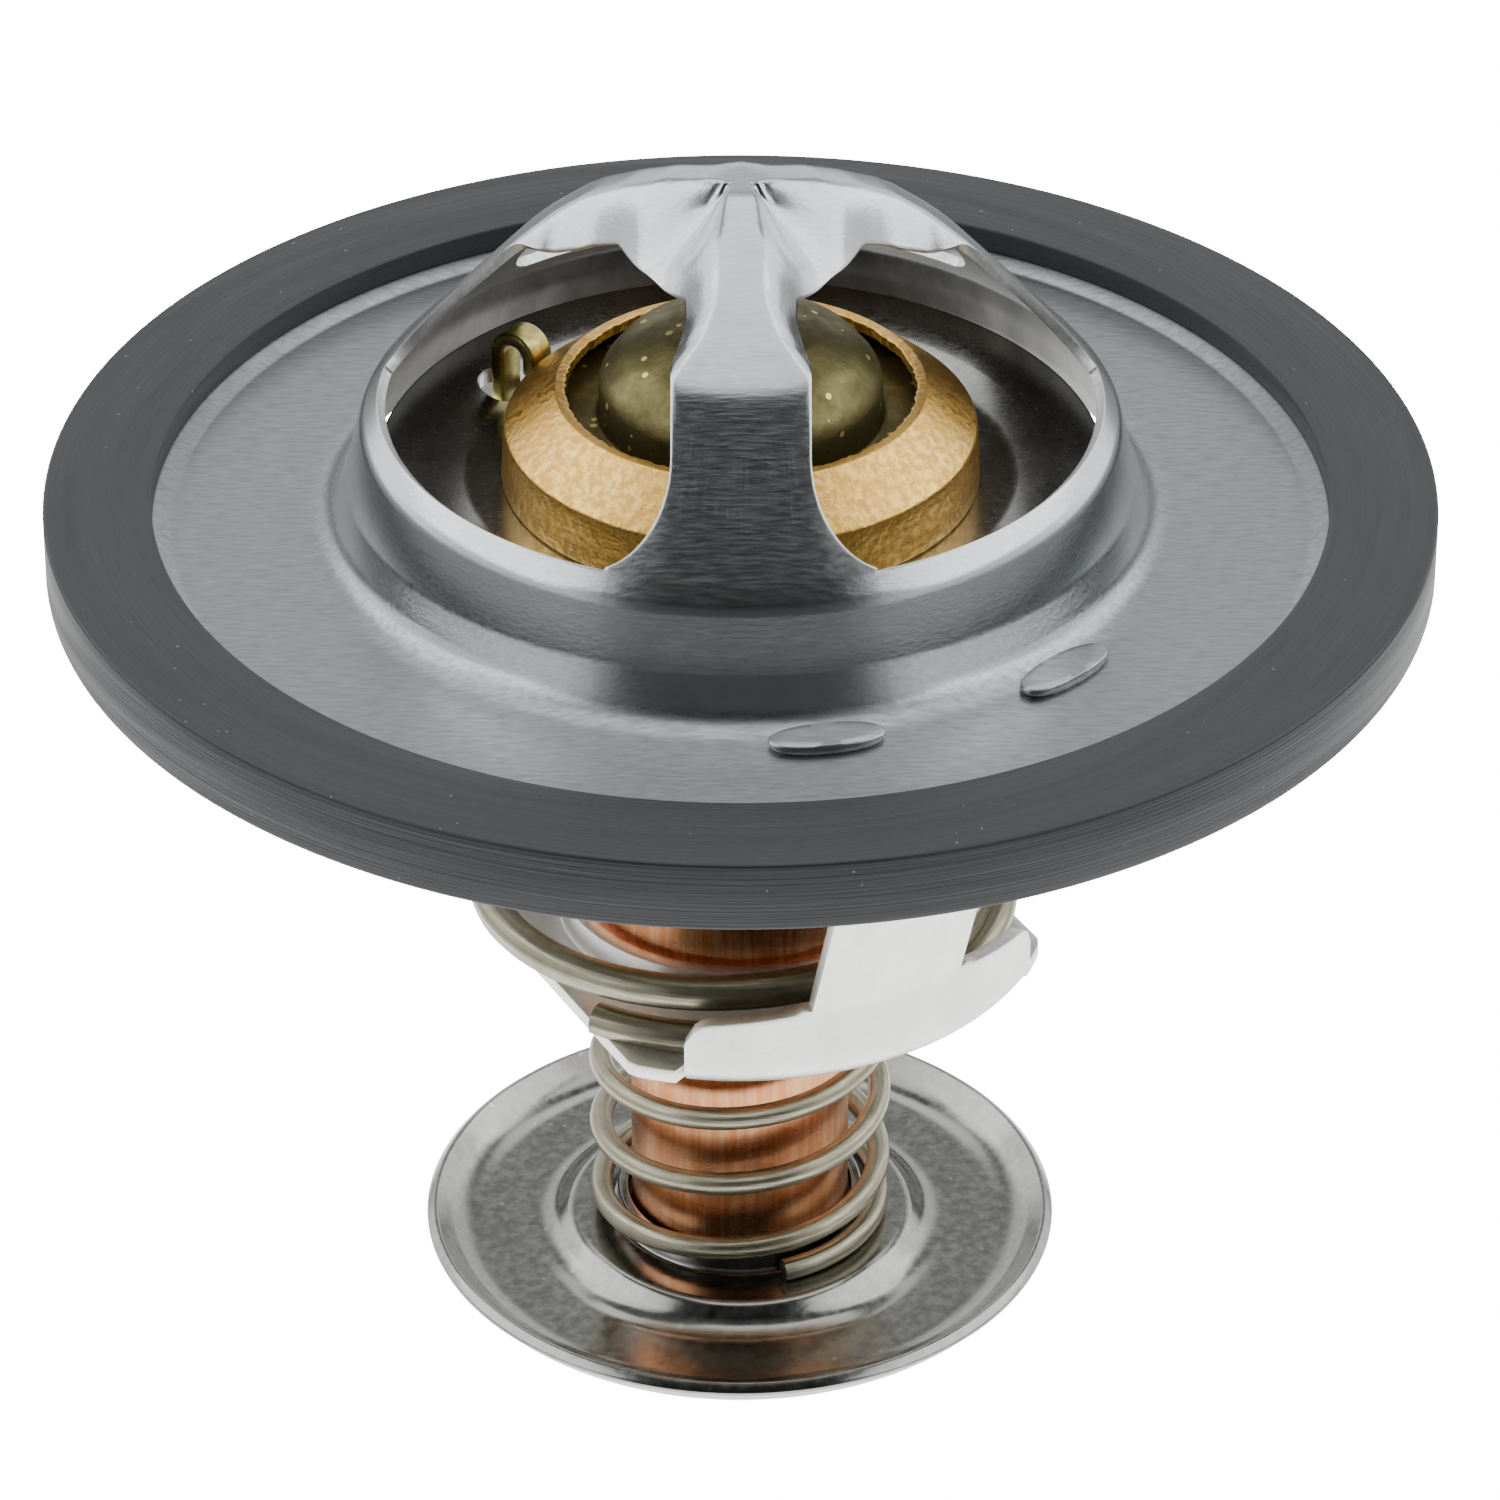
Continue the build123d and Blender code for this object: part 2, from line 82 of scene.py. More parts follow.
# Rolling grain: noise stretched along one direction of the piece.
grain_effect, grain_in, grain_out = effect(
    "Rolling grain",
    [
        ("Stretch", "NodeSocketVector", (1.0, 1.0, 1.0)),
        ("Scale", "NodeSocketFloat", 1000.0),
        ("Low", "NodeSocketFloat", 0.35),
        ("High", "NodeSocketFloat", 0.65),
    ],
    "Grain",
)
place = add_node(grain_effect, "ShaderNodeTexCoord")
stretched = add_node(
    grain_effect, "ShaderNodeVectorMath", {0: place.outputs["Object"], 1: grain_in.outputs["Stretch"]},
    operation="MULTIPLY",
)
noise = add_node(
    grain_effect, "ShaderNodeTexNoise",
    {"Vector": stretched.outputs[0], "Scale": grain_in.outputs["Scale"], "Detail": 4.0, "Roughness": 0.6},
)
spread = add_node(
    grain_effect, "ShaderNodeMapRange",
    {"Value": noise.outputs[0], "From Min": grain_in.outputs["Low"], "From Max": grain_in.outputs["High"]},
)
grain_effect.links.new(spread.outputs[0], grain_out.inputs[0])

# Turning lines: fine rings about the axis, as a roller, a lathe or a trimming knife leaves them.
turning_effect, turning_in, turning_out = effect(
    "Turning lines",
    [
        ("Scale", "NodeSocketFloat", 3000.0),
        ("Along", "NodeSocketFloat", 2.0),
        ("Low", "NodeSocketFloat", 0.35),
        ("High", "NodeSocketFloat", 0.65),
    ],
    "Lines",
)
place = add_node(turning_effect, "ShaderNodeTexCoord")
parts = add_node(turning_effect, "ShaderNodeSeparateXYZ", {0: place.outputs["Object"]})
flat = add_node(turning_effect, "ShaderNodeCombineXYZ", {0: parts.outputs[0], 1: parts.outputs[1]})
radius = add_node(turning_effect, "ShaderNodeVectorMath", {0: flat.outputs[0]}, operation="LENGTH")
across = figure(turning_effect, "MULTIPLY", radius.outputs["Value"], turning_in.outputs["Scale"])
upward = figure(turning_effect, "MULTIPLY", parts.outputs[2], turning_in.outputs["Scale"])
direction = add_node(turning_effect, "ShaderNodeVectorMath", {0: flat.outputs[0]}, operation="NORMALIZE")
around = add_node(
    turning_effect, "ShaderNodeVectorMath",
    {0: direction.outputs[0], "Scale": turning_in.outputs["Along"]}, operation="SCALE",
)
lines_at = add_node(turning_effect, "ShaderNodeCombineXYZ", {0: across, 1: upward})
lines_around = add_node(
    turning_effect, "ShaderNodeVectorMath", {0: lines_at.outputs[0], 1: around.outputs[0]}, operation="ADD"
)
noise = add_node(
    turning_effect, "ShaderNodeTexNoise",
    {"Vector": lines_around.outputs[0], "Scale": 1.0, "Detail": 3.0, "Roughness": 0.6},
)
spread = add_node(
    turning_effect, "ShaderNodeMapRange",
    {
        "Value": noise.outputs[0], "From Min": turning_in.outputs["Low"],
        "From Max": turning_in.outputs["High"],
    },
)
turning_effect.links.new(spread.outputs[0], turning_out.inputs[0])

# Height band: one between two heights of the piece, with a soft fade at both.
band_effect, band_in, band_out = effect(
    "Height band",
    [
        ("Low", "NodeSocketFloat", 0.0),
        ("High", "NodeSocketFloat", 0.06),
        ("Fade", "NodeSocketFloat", 0.001),
    ],
    "Band",
)
place = add_node(band_effect, "ShaderNodeTexCoord")
parts = add_node(band_effect, "ShaderNodeSeparateXYZ", {0: place.outputs["Object"]})
low_end = figure(band_effect, "ADD", band_in.outputs["Low"], band_in.outputs["Fade"])
high_end = figure(band_effect, "ADD", band_in.outputs["High"], band_in.outputs["Fade"])
rise = add_node(
    band_effect, "ShaderNodeMapRange",
    {"Value": parts.outputs[2], "From Min": band_in.outputs["Low"], "From Max": low_end},
)
fall = add_node(
    band_effect, "ShaderNodeMapRange",
    {"Value": parts.outputs[2], "From Min": high_end, "From Max": band_in.outputs["High"]},
)
both = figure(band_effect, "MULTIPLY", rise.outputs[0], fall.outputs[0])
band_effect.links.new(both, band_out.inputs[0])


def finish(name, color, metallic, roughness):
    """A material with its shader, whose plain values are on the shader's own sockets."""
    material = bpy.data.materials.new(name)
    material.use_nodes = True
    tree = material.node_tree
    shader = tree.nodes["Principled BSDF"]
    shader.inputs["Base Color"].default_value = (*color, 1.0)
    shader.inputs["Metallic"].default_value = metallic
    shader.inputs["Roughness"].default_value = roughness
    return material, tree, shader


def with_effect(tree, group, **values):
    made = tree.nodes.new("ShaderNodeGroup")
    made.node_tree = group
    for key, value in values.items():
        made.inputs[key].default_value = value
    return made.outputs[0]


def tinted(tree, under, over, mask):
    """A colour socket: one colour or socket over another where the mask is high."""
    mix = tree.nodes.new("ShaderNodeMix")
    mix.data_type = "RGBA"
    tree.links.new(mask, mix.inputs[0])
    for socket, value in ((mix.inputs[6], under), (mix.inputs[7], over)):
        if isinstance(value, bpy.types.NodeSocket):
            tree.links.new(value, socket)
        else:
            socket.default_value = (*value, 1.0)
    return mix.outputs[2]


def ranged(tree, value, low, high):
    made = add_node(tree, "ShaderNodeMapRange", {"Value": value, "To Min": low, "To Max": high})
    return made.outputs[0]


def summed(tree, first, second, share):
    """The first height plus a share of the second."""
    return figure(tree, "MULTIPLY_ADD", second, share, first)


def within(tree, first, second):
    """The first mask only where the second is high."""
    return figure(tree, "MULTIPLY", first, second)


def painted(tree, shader, tone, rough=None):
    """Let a tone, and a roughness where it changes, vary over the surface."""
    tree.links.new(tone, shader.inputs["Base Color"])
    if rough is not None:
        tree.links.new(rough, shader.inputs["Roughness"])


def bumped(tree, shader, height, strength, depth):
    bump = add_node(tree, "ShaderNodeBump", {"Height": height, "Strength": strength, "Distance": depth})
    tree.links.new(bump.outputs[0], shader.inputs["Normal"])


def piece_from(name, points, faces, material, sharp=38.0):
    """A mesh piece at the origin from points in millimetres, its doubles merged and its sides outwards."""
    mesh = bpy.data.meshes.new(name)
    mesh.from_pydata([tuple(c * MM for c in p) for p in points], [], faces)
    work = bmesh.new()
    work.from_mesh(mesh)
    bmesh.ops.remove_doubles(work, verts=work.verts, dist=0.002 * MM)
    bmesh.ops.dissolve_degenerate(work, edges=work.edges, dist=0.001 * MM)
    bmesh.ops.recalc_face_normals(work, faces=work.faces)
    work.to_mesh(mesh)
    work.free()
    mesh.materials.append(material)
    piece = bpy.data.objects.new(name, mesh)
    bpy.context.collection.objects.link(piece)
    shade(piece, sharp)
    return piece


def shade(piece, sharp):
    piece.data.shade_smooth()
    piece.data.set_sharp_from_angle(angle=math.radians(sharp))


def settle(piece, sharp=38.0):
    """Turn a piece's modifiers into its plain mesh."""
    graph = bpy.context.evaluated_depsgraph_get()
    done = bpy.data.meshes.new_from_object(piece.evaluated_get(graph))
    piece.modifiers.clear()
    piece.data = done
    shade(piece, sharp)


def round_edges(piece, width, segments, least_turn):
    """Round the edges where a piece turns by more than an angle."""
    edge = piece.modifiers.new("edge", "BEVEL")
    edge.width = width * MM
    edge.segments = segments
    edge.limit_method = "ANGLE"
    edge.angle_limit = math.radians(least_turn)


def thicken(piece, thickness, edge_round, sharp=38.0):
    """Give a sheet its thickness under its outer side, and round its cut edges."""
    solid = piece.modifiers.new("sheet", "SOLIDIFY")
    solid.thickness = thickness * MM
    solid.offset = -1.0
    solid.use_even_offset = True
    solid.material_offset = len(piece.data.materials) // 2
    solid.material_offset_rim = len(piece.data.materials) - 1
    round_edges(piece, edge_round, segments=2, least_turn=55)
    settle(piece, sharp)


# A corner that is nearly straight is left as it is, and an arc takes at most a share of each side.
NEARLY_STRAIGHT, SIDE_SHARE = 0.02, 0.49


def rounded(points, radii, steps=5):
    """A line with its corners replaced by arcs; one radius for all corners, or one for each."""
    if not isinstance(radii, (list, tuple)):
        radii = [radii] * len(points)
    line = [points[0]]
    for before, here, after, radius in zip(points, points[1:], points[2:], radii[1:]):
        here_v = np.array(here, float)
        back = np.array(before, float) - here_v
        ahead = np.array(after, float) - here_v
        back_length = np.linalg.norm(back)
        ahead_length = np.linalg.norm(ahead)
        back /= back_length
        ahead /= ahead_length
        half = math.acos(max(-1.0, min(1.0, float(back @ ahead)))) / 2
        if radius <= 0 or half > math.pi / 2 - NEARLY_STRAIGHT:
            line.append(tuple(here_v))
            continue
        cut = min(radius / math.tan(half), SIDE_SHARE * back_length, SIDE_SHARE * ahead_length)
        start = here_v + back * cut
        end = here_v + ahead * cut
        for i in range(steps + 1):
            t = i / steps
            line.append(tuple((1 - t) ** 2 * start + 2 * t * (1 - t) * here_v + t**2 * end))
    line.append(points[-1])
    return line


def turned(x, y, angle):
    """A point of the plan, turned about the axis."""
    return x * math.cos(angle) - y * math.sin(angle), x * math.sin(angle) + y * math.cos(angle)


def net(start, rows, width, rings=False, looped=False):
    """Faces between rows of points. Rings are rows whose ends meet; looped rows end at the first."""
    faces = []
    for i in range(rows if looped else rows - 1):
        a = start + i * width
        b = start + (i + 1) % rows * width
        for j in range(width if rings else width - 1):
            k = (j + 1) % width
            faces.append((a + j, a + k, b + k, b + j))
    return faces


SHEET = 0.5
FLANGE_TOP = 42.95
CROWN_Z = 61.0
RIM_RADIUS, RIM_Z = 17.35, 49.4
LEG_ANGLES = [math.radians(a) for a in (-90, 30, 150)]
# Heights over the radius: along a rib, down a scoop, and down the fuller scoop behind the crown.
RIDGE = [
    (0.0, CROWN_Z), (1.5, CROWN_Z), (4.0, 60.4), (6.0, 59.6), (8.0, 58.6), (9.5, 57.55), (11.4, 56.0),
]
SCOOP_FOOT = [(6.0, 56.15), (7.5, 55.5), (9.0, 55.4), (11.4, 55.4)]
SCOOP = [(0.0, CROWN_Z), (0.8, 60.6), (2.95, 58.8), (4.9, 57.15), *SCOOP_FOOT]
BACK_FILL = [(0.0, CROWN_Z), (2.0, CROWN_Z), (3.0, 60.0), (4.9, 57.3), *SCOOP_FOOT]
RIDGE_EASING, SCOOP_EASING = 111, 81
# Where the fuller scoop fades in, as a sine, and how far a rib reaches round, as a cosine.
BACK_FROM, BACK_FADE, RIB_SECTOR = 0.5, 0.25, 0.49
RADIUS_STEPS = 1736
# Half widths over the radius: of a rib's top, and of the rib with its flanks.
RIB_HALF = ([0.0, 5.0, 7.0, 8.0, 9.2, 10.3, 10.9, 18.0], [0.7, 0.75, 0.85, 1.0, 1.5, 2.4, 3.0, 3.2])
FLANK_HALF = ([0.0, 4.4, 4.9, 7.0, 9.8, 11.4, 18.0], [0.0, 3.7, 3.9, 3.9, 4.4, 4.4, 6.5])
radii = np.linspace(0, RIM_RADIUS, RADIUS_STEPS)


def eased(points, width):
    """Height over the radius along a line of points, its corners eased."""
    heights = np.interp(radii, *zip(*points, (RIM_RADIUS, RIM_Z)))
    window = np.hanning(width)
    padded = np.pad(heights, width // 2, mode="reflect", reflect_type="odd")
    return np.convolve(padded, window / window.sum(), mode="valid")


scoop_line = eased(SCOOP, SCOOP_EASING)
back_line = eased(BACK_FILL, SCOOP_EASING)
ridge_line = np.maximum(eased(RIDGE, RIDGE_EASING), scoop_line)


def stamping_height(x, y):
    """Height of the bridge's outer skin over a point of the plan."""
    r = math.hypot(x, y)
    turns = [math.atan2(y, x) - angle for angle in LEG_ANGLES]
    aside = min(abs(r * math.sin(t)) for t in turns if math.cos(t) > RIB_SECTOR)
    rib = np.interp(r, *RIB_HALF)
    flank = max(np.interp(r, *FLANK_HALF) - rib, 0.05)
    share = min(max((aside - rib) / flank, 0.0), 1.0)
    fall = share * share * (3 - 2 * share)
    behind = min(max((y / r - BACK_FROM) / BACK_FADE, 0.0), 1.0) if r > 0 else 0.0
    low = np.interp(r, radii, scoop_line + behind * (back_line - scoop_line))
    return float(low + (np.interp(r, radii, ridge_line) - low) * (1 - fall))


# A leg's plan: from the seam between two scoops round the apron's notch, along the straight leg and
# out through the flare to the rim.
APRON_REACH, APRON_MIDDLE = 4.9, 3.4
APRON = turned(APRON_REACH, 0, math.pi / 3)
NOTCH, WAIST = (5.22, 2.643), (6.6, 2.6)
LEG_START, LEG_END, LEG_END_HALF = 9.2, 13.2, 3.25
FLARE_END, FLARE_MIDDLE = (16.1, 6.25), 17.0
FLARE_ANGLE = math.atan2(FLARE_END[1], FLARE_END[0])
LEG_COLUMNS, WINDOW_COLUMNS = 14, 44
EDGE_COLUMN = 0.965
SEAM_ROWS, FLARE_ROWS, EDGE_ROWS = 11, 12, 64
seam = [(t * APRON[0], t * APRON[1]) for t in np.linspace(0, 1, SEAM_ROWS)[:-1]]
flare = [
    (
        LEG_END + (FLARE_END[0] - LEG_END) * math.sin(t),
        FLARE_END[1] - (FLARE_END[1] - LEG_END_HALF) * math.cos(t),
    )
    for t in np.linspace(0, math.pi / 2, FLARE_ROWS)
]
edge = rounded(
    [APRON, NOTCH, WAIST, (LEG_START, LEG_END_HALF), *flare], [0, 0.9, 1.5, 3.0] + [0] * len(flare)
)
edge_run = np.concatenate([[0], np.cumsum([math.dist(p, q) for p, q in zip(edge, edge[1:])])])
edge_at = np.linspace(0, edge_run[-1], EDGE_ROWS)
edge = list(zip(*(np.interp(edge_at, edge_run, side) for side in zip(*edge))))


def leg_axis_point(along, on_seam):
    """Where a row of the leg's grid that ends at an edge point crosses the leg's middle."""
    if on_seam:
        return APRON_MIDDLE * along / APRON[0]
    if along < NOTCH[0]:
        return APRON_MIDDLE + (along - APRON[0]) * (NOTCH[0] - APRON_MIDDLE) / (NOTCH[0] - APRON[0])
    if along < LEG_END:
        return along
    return LEG_END + (along - LEG_END) * (FLARE_MIDDLE - LEG_END) / (FLARE_END[0] - LEG_END)


columns = np.array([-1.0, *np.linspace(-EDGE_COLUMN, EDGE_COLUMN, 2 * LEG_COLUMNS + 1), 1.0])
leg_rows = []
for on_seam, ends in ((True, seam), (False, edge)):
    for along, aside in ends:
        middle = leg_axis_point(along, on_seam)
        leg_rows.append([(middle + (along - middle) * t * t, aside * t) for t in columns])
leg_rows.append([turned(RIM_RADIUS, 0, FLARE_ANGLE * t) for t in columns])

skin_points = []
skin_faces = []
for angle in LEG_ANGLES:
    start = len(skin_points)
    for row in leg_rows:
        for along, aside in row:
            x, y = turned(along, aside, angle)
            skin_points.append((x, y, stamping_height(x, y)))
    skin_faces += net(start, len(leg_rows), len(columns))

collar_line = rounded(
    [
        (RIM_RADIUS, RIM_Z), (17.45, 49.29), (18.2, 48.4), (18.95, 45.4), (19.9, 42.95), (27.4, 42.95),
        (28.3, 43.3), (31.5, 43.3),
    ],
    [0, 0, 1.6, 2.6, 1.9, 0.8, 0.8, 0],
    steps=7,
)
ring_angles = []
for angle in LEG_ANGLES:
    ring_angles += [angle + FLARE_ANGLE * t for t in columns]
    window = 2 * math.pi / 3 - 2 * FLARE_ANGLE
    ring_angles += [angle + FLARE_ANGLE + window * i / WINDOW_COLUMNS for i in range(1, WINDOW_COLUMNS)]
start = len(skin_points)
for r, z in collar_line:
    skin_points += [(*turned(r, 0, a), z) for a in ring_angles]
skin_faces += net(start, len(collar_line), len(ring_angles), rings=True)

stamped_steel, tree, shader = finish("stamped steel", (0.55, 0.57, 0.59), metallic=1.0, roughness=0.28)
short_grain = with_effect(tree, grain_effect, Stretch=(1.0, 6.0, 6.0), Scale=850.0, Low=0.34, High=0.66)
clouds = with_effect(tree, grain_effect, Scale=330.0, Low=0.46, High=0.86)
rings = with_effect(tree, turning_effect, Scale=2600.0, Along=3.0, Low=0.3, High=0.7)
# Near-white streaks painted on the legs' flared feet, between two heights: painted highlights.
foot_highlight_streaks = with_effect(tree, turning_effect, Scale=160.0, Along=170.0, Low=0.54, High=0.72)
leg_foot_zone = with_effect(tree, band_effect, Low=0.0505, High=0.0535, Fade=0.0014)
tone = tinted(tree, (0.55, 0.575, 0.59), (0.61, 0.635, 0.65), short_grain)
tone = tinted(tree, tone, (0.5, 0.52, 0.53), clouds)
flat_zone = with_effect(tree, band_effect, Low=0.03, High=0.0434, Fade=0.0006)
flat_tone = tinted(tree, (0.27, 0.28, 0.29), (0.4, 0.415, 0.43), short_grain)
tone = tinted(tree, tone, flat_tone, flat_zone)
# Painted highlight: the streaks show only on the legs' feet.
tone = tinted(tree, tone, (0.85, 0.88, 0.9), within(tree, foot_highlight_streaks, leg_foot_zone))
painted(tree, shader, tone, summed(tree, ranged(tree, short_grain, 0.24, 0.18), flat_zone, 0.13))
bumped(tree, shader, summed(tree, short_grain, rings, 0.5), strength=0.12, depth=0.00002)
# The sheet's inner side is painted near black: painted shade for the dark inside of the bridge, mottled at
# random.
shaded_inside, tree, shader = finish("painted shade inside", (0.17, 0.168, 0.16), metallic=1.0, roughness=0.34)
shade_mottle = with_effect(tree, grain_effect, Stretch=(1.0, 1.0, 0.4), Scale=380.0, Low=0.35, High=0.7)
painted(tree, shader, tinted(tree, (0.06, 0.059, 0.055), (0.12, 0.118, 0.11), shade_mottle))
# The cut edge is painted near white, brighter than the sheet's own steel: a painted highlight along every
# cut edge, with a torn grain.
sheared_edge_highlight, tree, shader = finish("sheared edge highlight", (0.85, 0.87, 0.88), metallic=1.0, roughness=0.42)
tear = with_effect(tree, grain_effect, Stretch=(1.0, 1.0, 0.3), Scale=2600.0)
tone = tinted(tree, (0.7, 0.72, 0.73), (0.92, 0.94, 0.95), tear)
painted(tree, shader, tone, ranged(tree, tear, 0.5, 0.34))

stamping = piece_from("stamped_bridge", skin_points, skin_faces, stamped_steel)
if sum(p.normal.z * p.area for p in stamping.data.polygons) < 0:
    stamping.data.flip_normals()
stamping.data.materials.append(shaded_inside)
stamping.data.materials.append(sheared_edge_highlight)
thicken(stamping, SHEET, edge_round=0.1, sharp=60.0)
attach(stamping, "frame")
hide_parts("flange_bridge")


# Rubber rim seal: a square ring of black rubber pressed over the flange's edge. It is trimmed to
# size by a knife, which leaves fine rings on its faces, and it picks up pale dust.
def lathe(name, line, material, segments=192, closed=True, sharp=38.0):
    """A turned piece from a closed section, or from a line whose ends lie on the axis."""
    turns = [2 * math.pi * i / segments for i in range(segments)]
    points = [(*turned(r, 0, a), z) for r, z in line for a in turns]
    faces = net(0, len(line), segments, rings=True, looped=closed)
    return piece_from(name, points, faces, material, sharp)


def closed_section(points, radius, steps=4):
    """A closed section with its corners rounded by one radius, or by one for each corner."""
    if not isinstance(radius, (list, tuple)):
        radius = [radius] * len(points)
    loop = [points[-1], *points, points[0]]
    corners = [radius[-1], *radius, radius[0]]
    return rounded(loop, corners, steps)[1:-1]


SEAL_TOP, SEAL_BOTTOM = 44.55, 41.05
SEAL_BORE, SEAL_RADIUS = 28.3, 33.5
GROOVE_TOP, GROOVE_BOTTOM, GROOVE_RADIUS = 43.32, 42.48, 31.52
seal_section = closed_section(
    [
        (SEAL_BORE, GROOVE_TOP), (SEAL_BORE, SEAL_TOP), (SEAL_RADIUS, SEAL_TOP), (SEAL_RADIUS, SEAL_BOTTOM),
        (SEAL_BORE, SEAL_BOTTOM), (SEAL_BORE, GROOVE_BOTTOM), (GROOVE_RADIUS, GROOVE_BOTTOM),
        (GROOVE_RADIUS, GROOVE_TOP),
    ],
    [0.0, 0.12, 0.22, 0.22, 0.12, 0.0, 0.0, 0.0],
)

# Specks: dust, pits and bright points, scattered as small round spots.
speck_effect, speck_in, speck_out = effect(
    "Specks",
    [
        ("Scale", "NodeSocketFloat", 1200.0),
        ("Size", "NodeSocketFloat", 0.16),
        ("Share", "NodeSocketFloat", 0.2),
    ],
    "Spots",
)
place = add_node(speck_effect, "ShaderNodeTexCoord")
cells = add_node(
    speck_effect, "ShaderNodeTexVoronoi",
    {"Vector": place.outputs["Object"], "Scale": speck_in.outputs["Scale"]},
)
chance = add_node(speck_effect, "ShaderNodeSeparateColor", {0: cells.outputs["Color"]})
chosen = figure(speck_effect, "LESS_THAN", chance.outputs[0], speck_in.outputs["Share"])
reach = figure(speck_effect, "MULTIPLY", chance.outputs[1], speck_in.outputs["Size"])
spot = figure(speck_effect, "LESS_THAN", cells.outputs["Distance"], reach)
shown = figure(speck_effect, "MULTIPLY", spot, chosen)
speck_effect.links.new(shown, speck_out.inputs[0])

seal_rubber, tree, shader = finish("seal rubber", (0.017, 0.021, 0.024), metallic=0.0, roughness=0.42)
knife_rings = with_effect(tree, turning_effect, Scale=5200.0, Along=1.2, Low=0.3, High=0.7)
wide_rings = with_effect(tree, turning_effect, Scale=900.0, Along=2.5)
dust = with_effect(tree, speck_effect, Scale=2600.0, Size=0.22, Share=0.05)
clouds = with_effect(tree, grain_effect, Scale=160.0, Low=0.3, High=0.7)
tone = tinted(tree, (0.01, 0.013, 0.015), (0.024, 0.029, 0.032), knife_rings)
tone = tinted(tree, tone, (0.017, 0.021, 0.024), clouds)
tone = tinted(tree, tone, (0.14, 0.14, 0.125), dust)
painted(tree, shader, tone, ranged(tree, wide_rings, 0.4, 0.55))
shader.inputs["Specular IOR Level"].default_value = 0.55
bumped(tree, shader, summed(tree, knife_rings, wide_rings, 0.6), strength=0.3, depth=0.00005)
seal = lathe("rim_ring", seal_section, seal_rubber, segments=256)
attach(seal, "frame")
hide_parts("rim_seal")


# Bracket: a stirrup of bright steel sheet. Its floor is drawn up into a guide neck, two wings are
# folded up round the spring, and two legs lean out to the flange, where their tabs are staked over.
BRACKET_SHEET = 0.75
BRACKET_TURN = math.radians(28.0)
FLOOR_Z = 19.7
WALL_RADIUS = 15.6
WING_TOP = 24.1
LEG_HALF = 4.1
HEAD_HALF = 9.2
LEG_TOP_RADIUS, LEG_TOP_Z = 21.6, 42.15
FLOOR_HALF = 11.4
FLOOR_MARGIN = 0.35
NECK_BORE = 8.3
FOLD = 1.3
HEAD_FOOT, HEAD_RISE = 34.65, 3.0
FLOOR_STEPS, FOLD_STEPS, WALL_STEPS, LEG_STEPS = 8, 6, 10, 24
# Turns in degrees from a leg's middle: to the leg's side, the wing's end and the floor's corner.
LEG_TURN, WING_TURN, CORNER_TURN = 15.2, 38.0, 47.0
# How far a wing's top falls outwards, and the corners at its leg and its end, in millimetres and degrees.
WING_FALL, LEG_CORNER_RISE, LEG_CORNER_SPAN, END_FALL, END_SPAN = 0.75, 0.9, 4.0, 1.1, 5.0
HAIR = 1e-6


def onward(start, end, count):
    """Evenly spaced turns from one to another, without the first."""
    return list(np.linspace(start, end, count))[1:]


leg_turns = [-LEG_TURN, *onward(-LEG_TURN, LEG_TURN, 13)]
wing_turns = [
    -WING_TURN, *onward(-WING_TURN, -LEG_TURN, 15), *leg_turns[1:], *onward(LEG_TURN, WING_TURN, 15),
]
floor_turns = [
    *onward(WING_TURN, CORNER_TURN, 6), *onward(CORNER_TURN, 180.0 - CORNER_TURN, 45),
    *onward(180.0 - CORNER_TURN, 180.0 - WING_TURN, 6),
]
half_turns = wing_turns + floor_turns[:-1]
all_turns = half_turns + [a + 180.0 for a in half_turns]
bracket_points = []


def wall_radius(z):
    if z <= WING_TOP:
        return WALL_RADIUS
    return WALL_RADIUS + (LEG_TOP_RADIUS - WALL_RADIUS) * (z - WING_TOP) / (LEG_TOP_Z - WING_TOP)


def wing_height(turn):
    """Top of the wing at a turn from the leg's middle, with a rounded corner at the leg."""
    aside = abs(turn) - LEG_TURN
    span = WING_TURN - LEG_TURN
    top = WING_TOP - WING_FALL * aside / span
    fillet = max(0.0, 1.0 - aside / LEG_CORNER_SPAN)
    end = max(0.0, (aside - (span - END_SPAN)) / END_SPAN)
    return top + LEG_CORNER_RISE * fillet**3 - END_FALL * end**3


def leg_half_width(z):
    head = min(max((z - HEAD_FOOT) / HEAD_RISE, 0.0), 1.0)
    return LEG_HALF + (HEAD_HALF - LEG_HALF) * head


neck_line = rounded(
    [(NECK_BORE, 22.05), (NECK_BORE, FLOOR_Z), (WALL_RADIUS - FOLD, FLOOR_Z)], [0, 1.5, 0], steps=6
)[:-1]
for turn in all_turns:
    local = (turn + 180.0 + 90.0) % 180.0 - 90.0
    if abs(local) <= WING_TURN + HAIR:
        reach = WALL_RADIUS - FOLD
    elif abs(local) <= CORNER_TURN + HAIR:
        reach = WALL_RADIUS - FLOOR_MARGIN
    else:
        reach = min(WALL_RADIUS - FLOOR_MARGIN, FLOOR_HALF / abs(math.sin(math.radians(local))))
    angle = math.radians(turn) - math.pi / 2 + BRACKET_TURN
    last = neck_line[-1][0]
    line = neck_line + [
        (last + (reach - last) * i / FLOOR_STEPS, FLOOR_Z) for i in range(1, FLOOR_STEPS + 1)
    ]
    bracket_points += [(*turned(r, 0, angle), z) for r, z in line]
bracket_faces = net(0, len(all_turns), len(neck_line) + FLOOR_STEPS, looped=True)
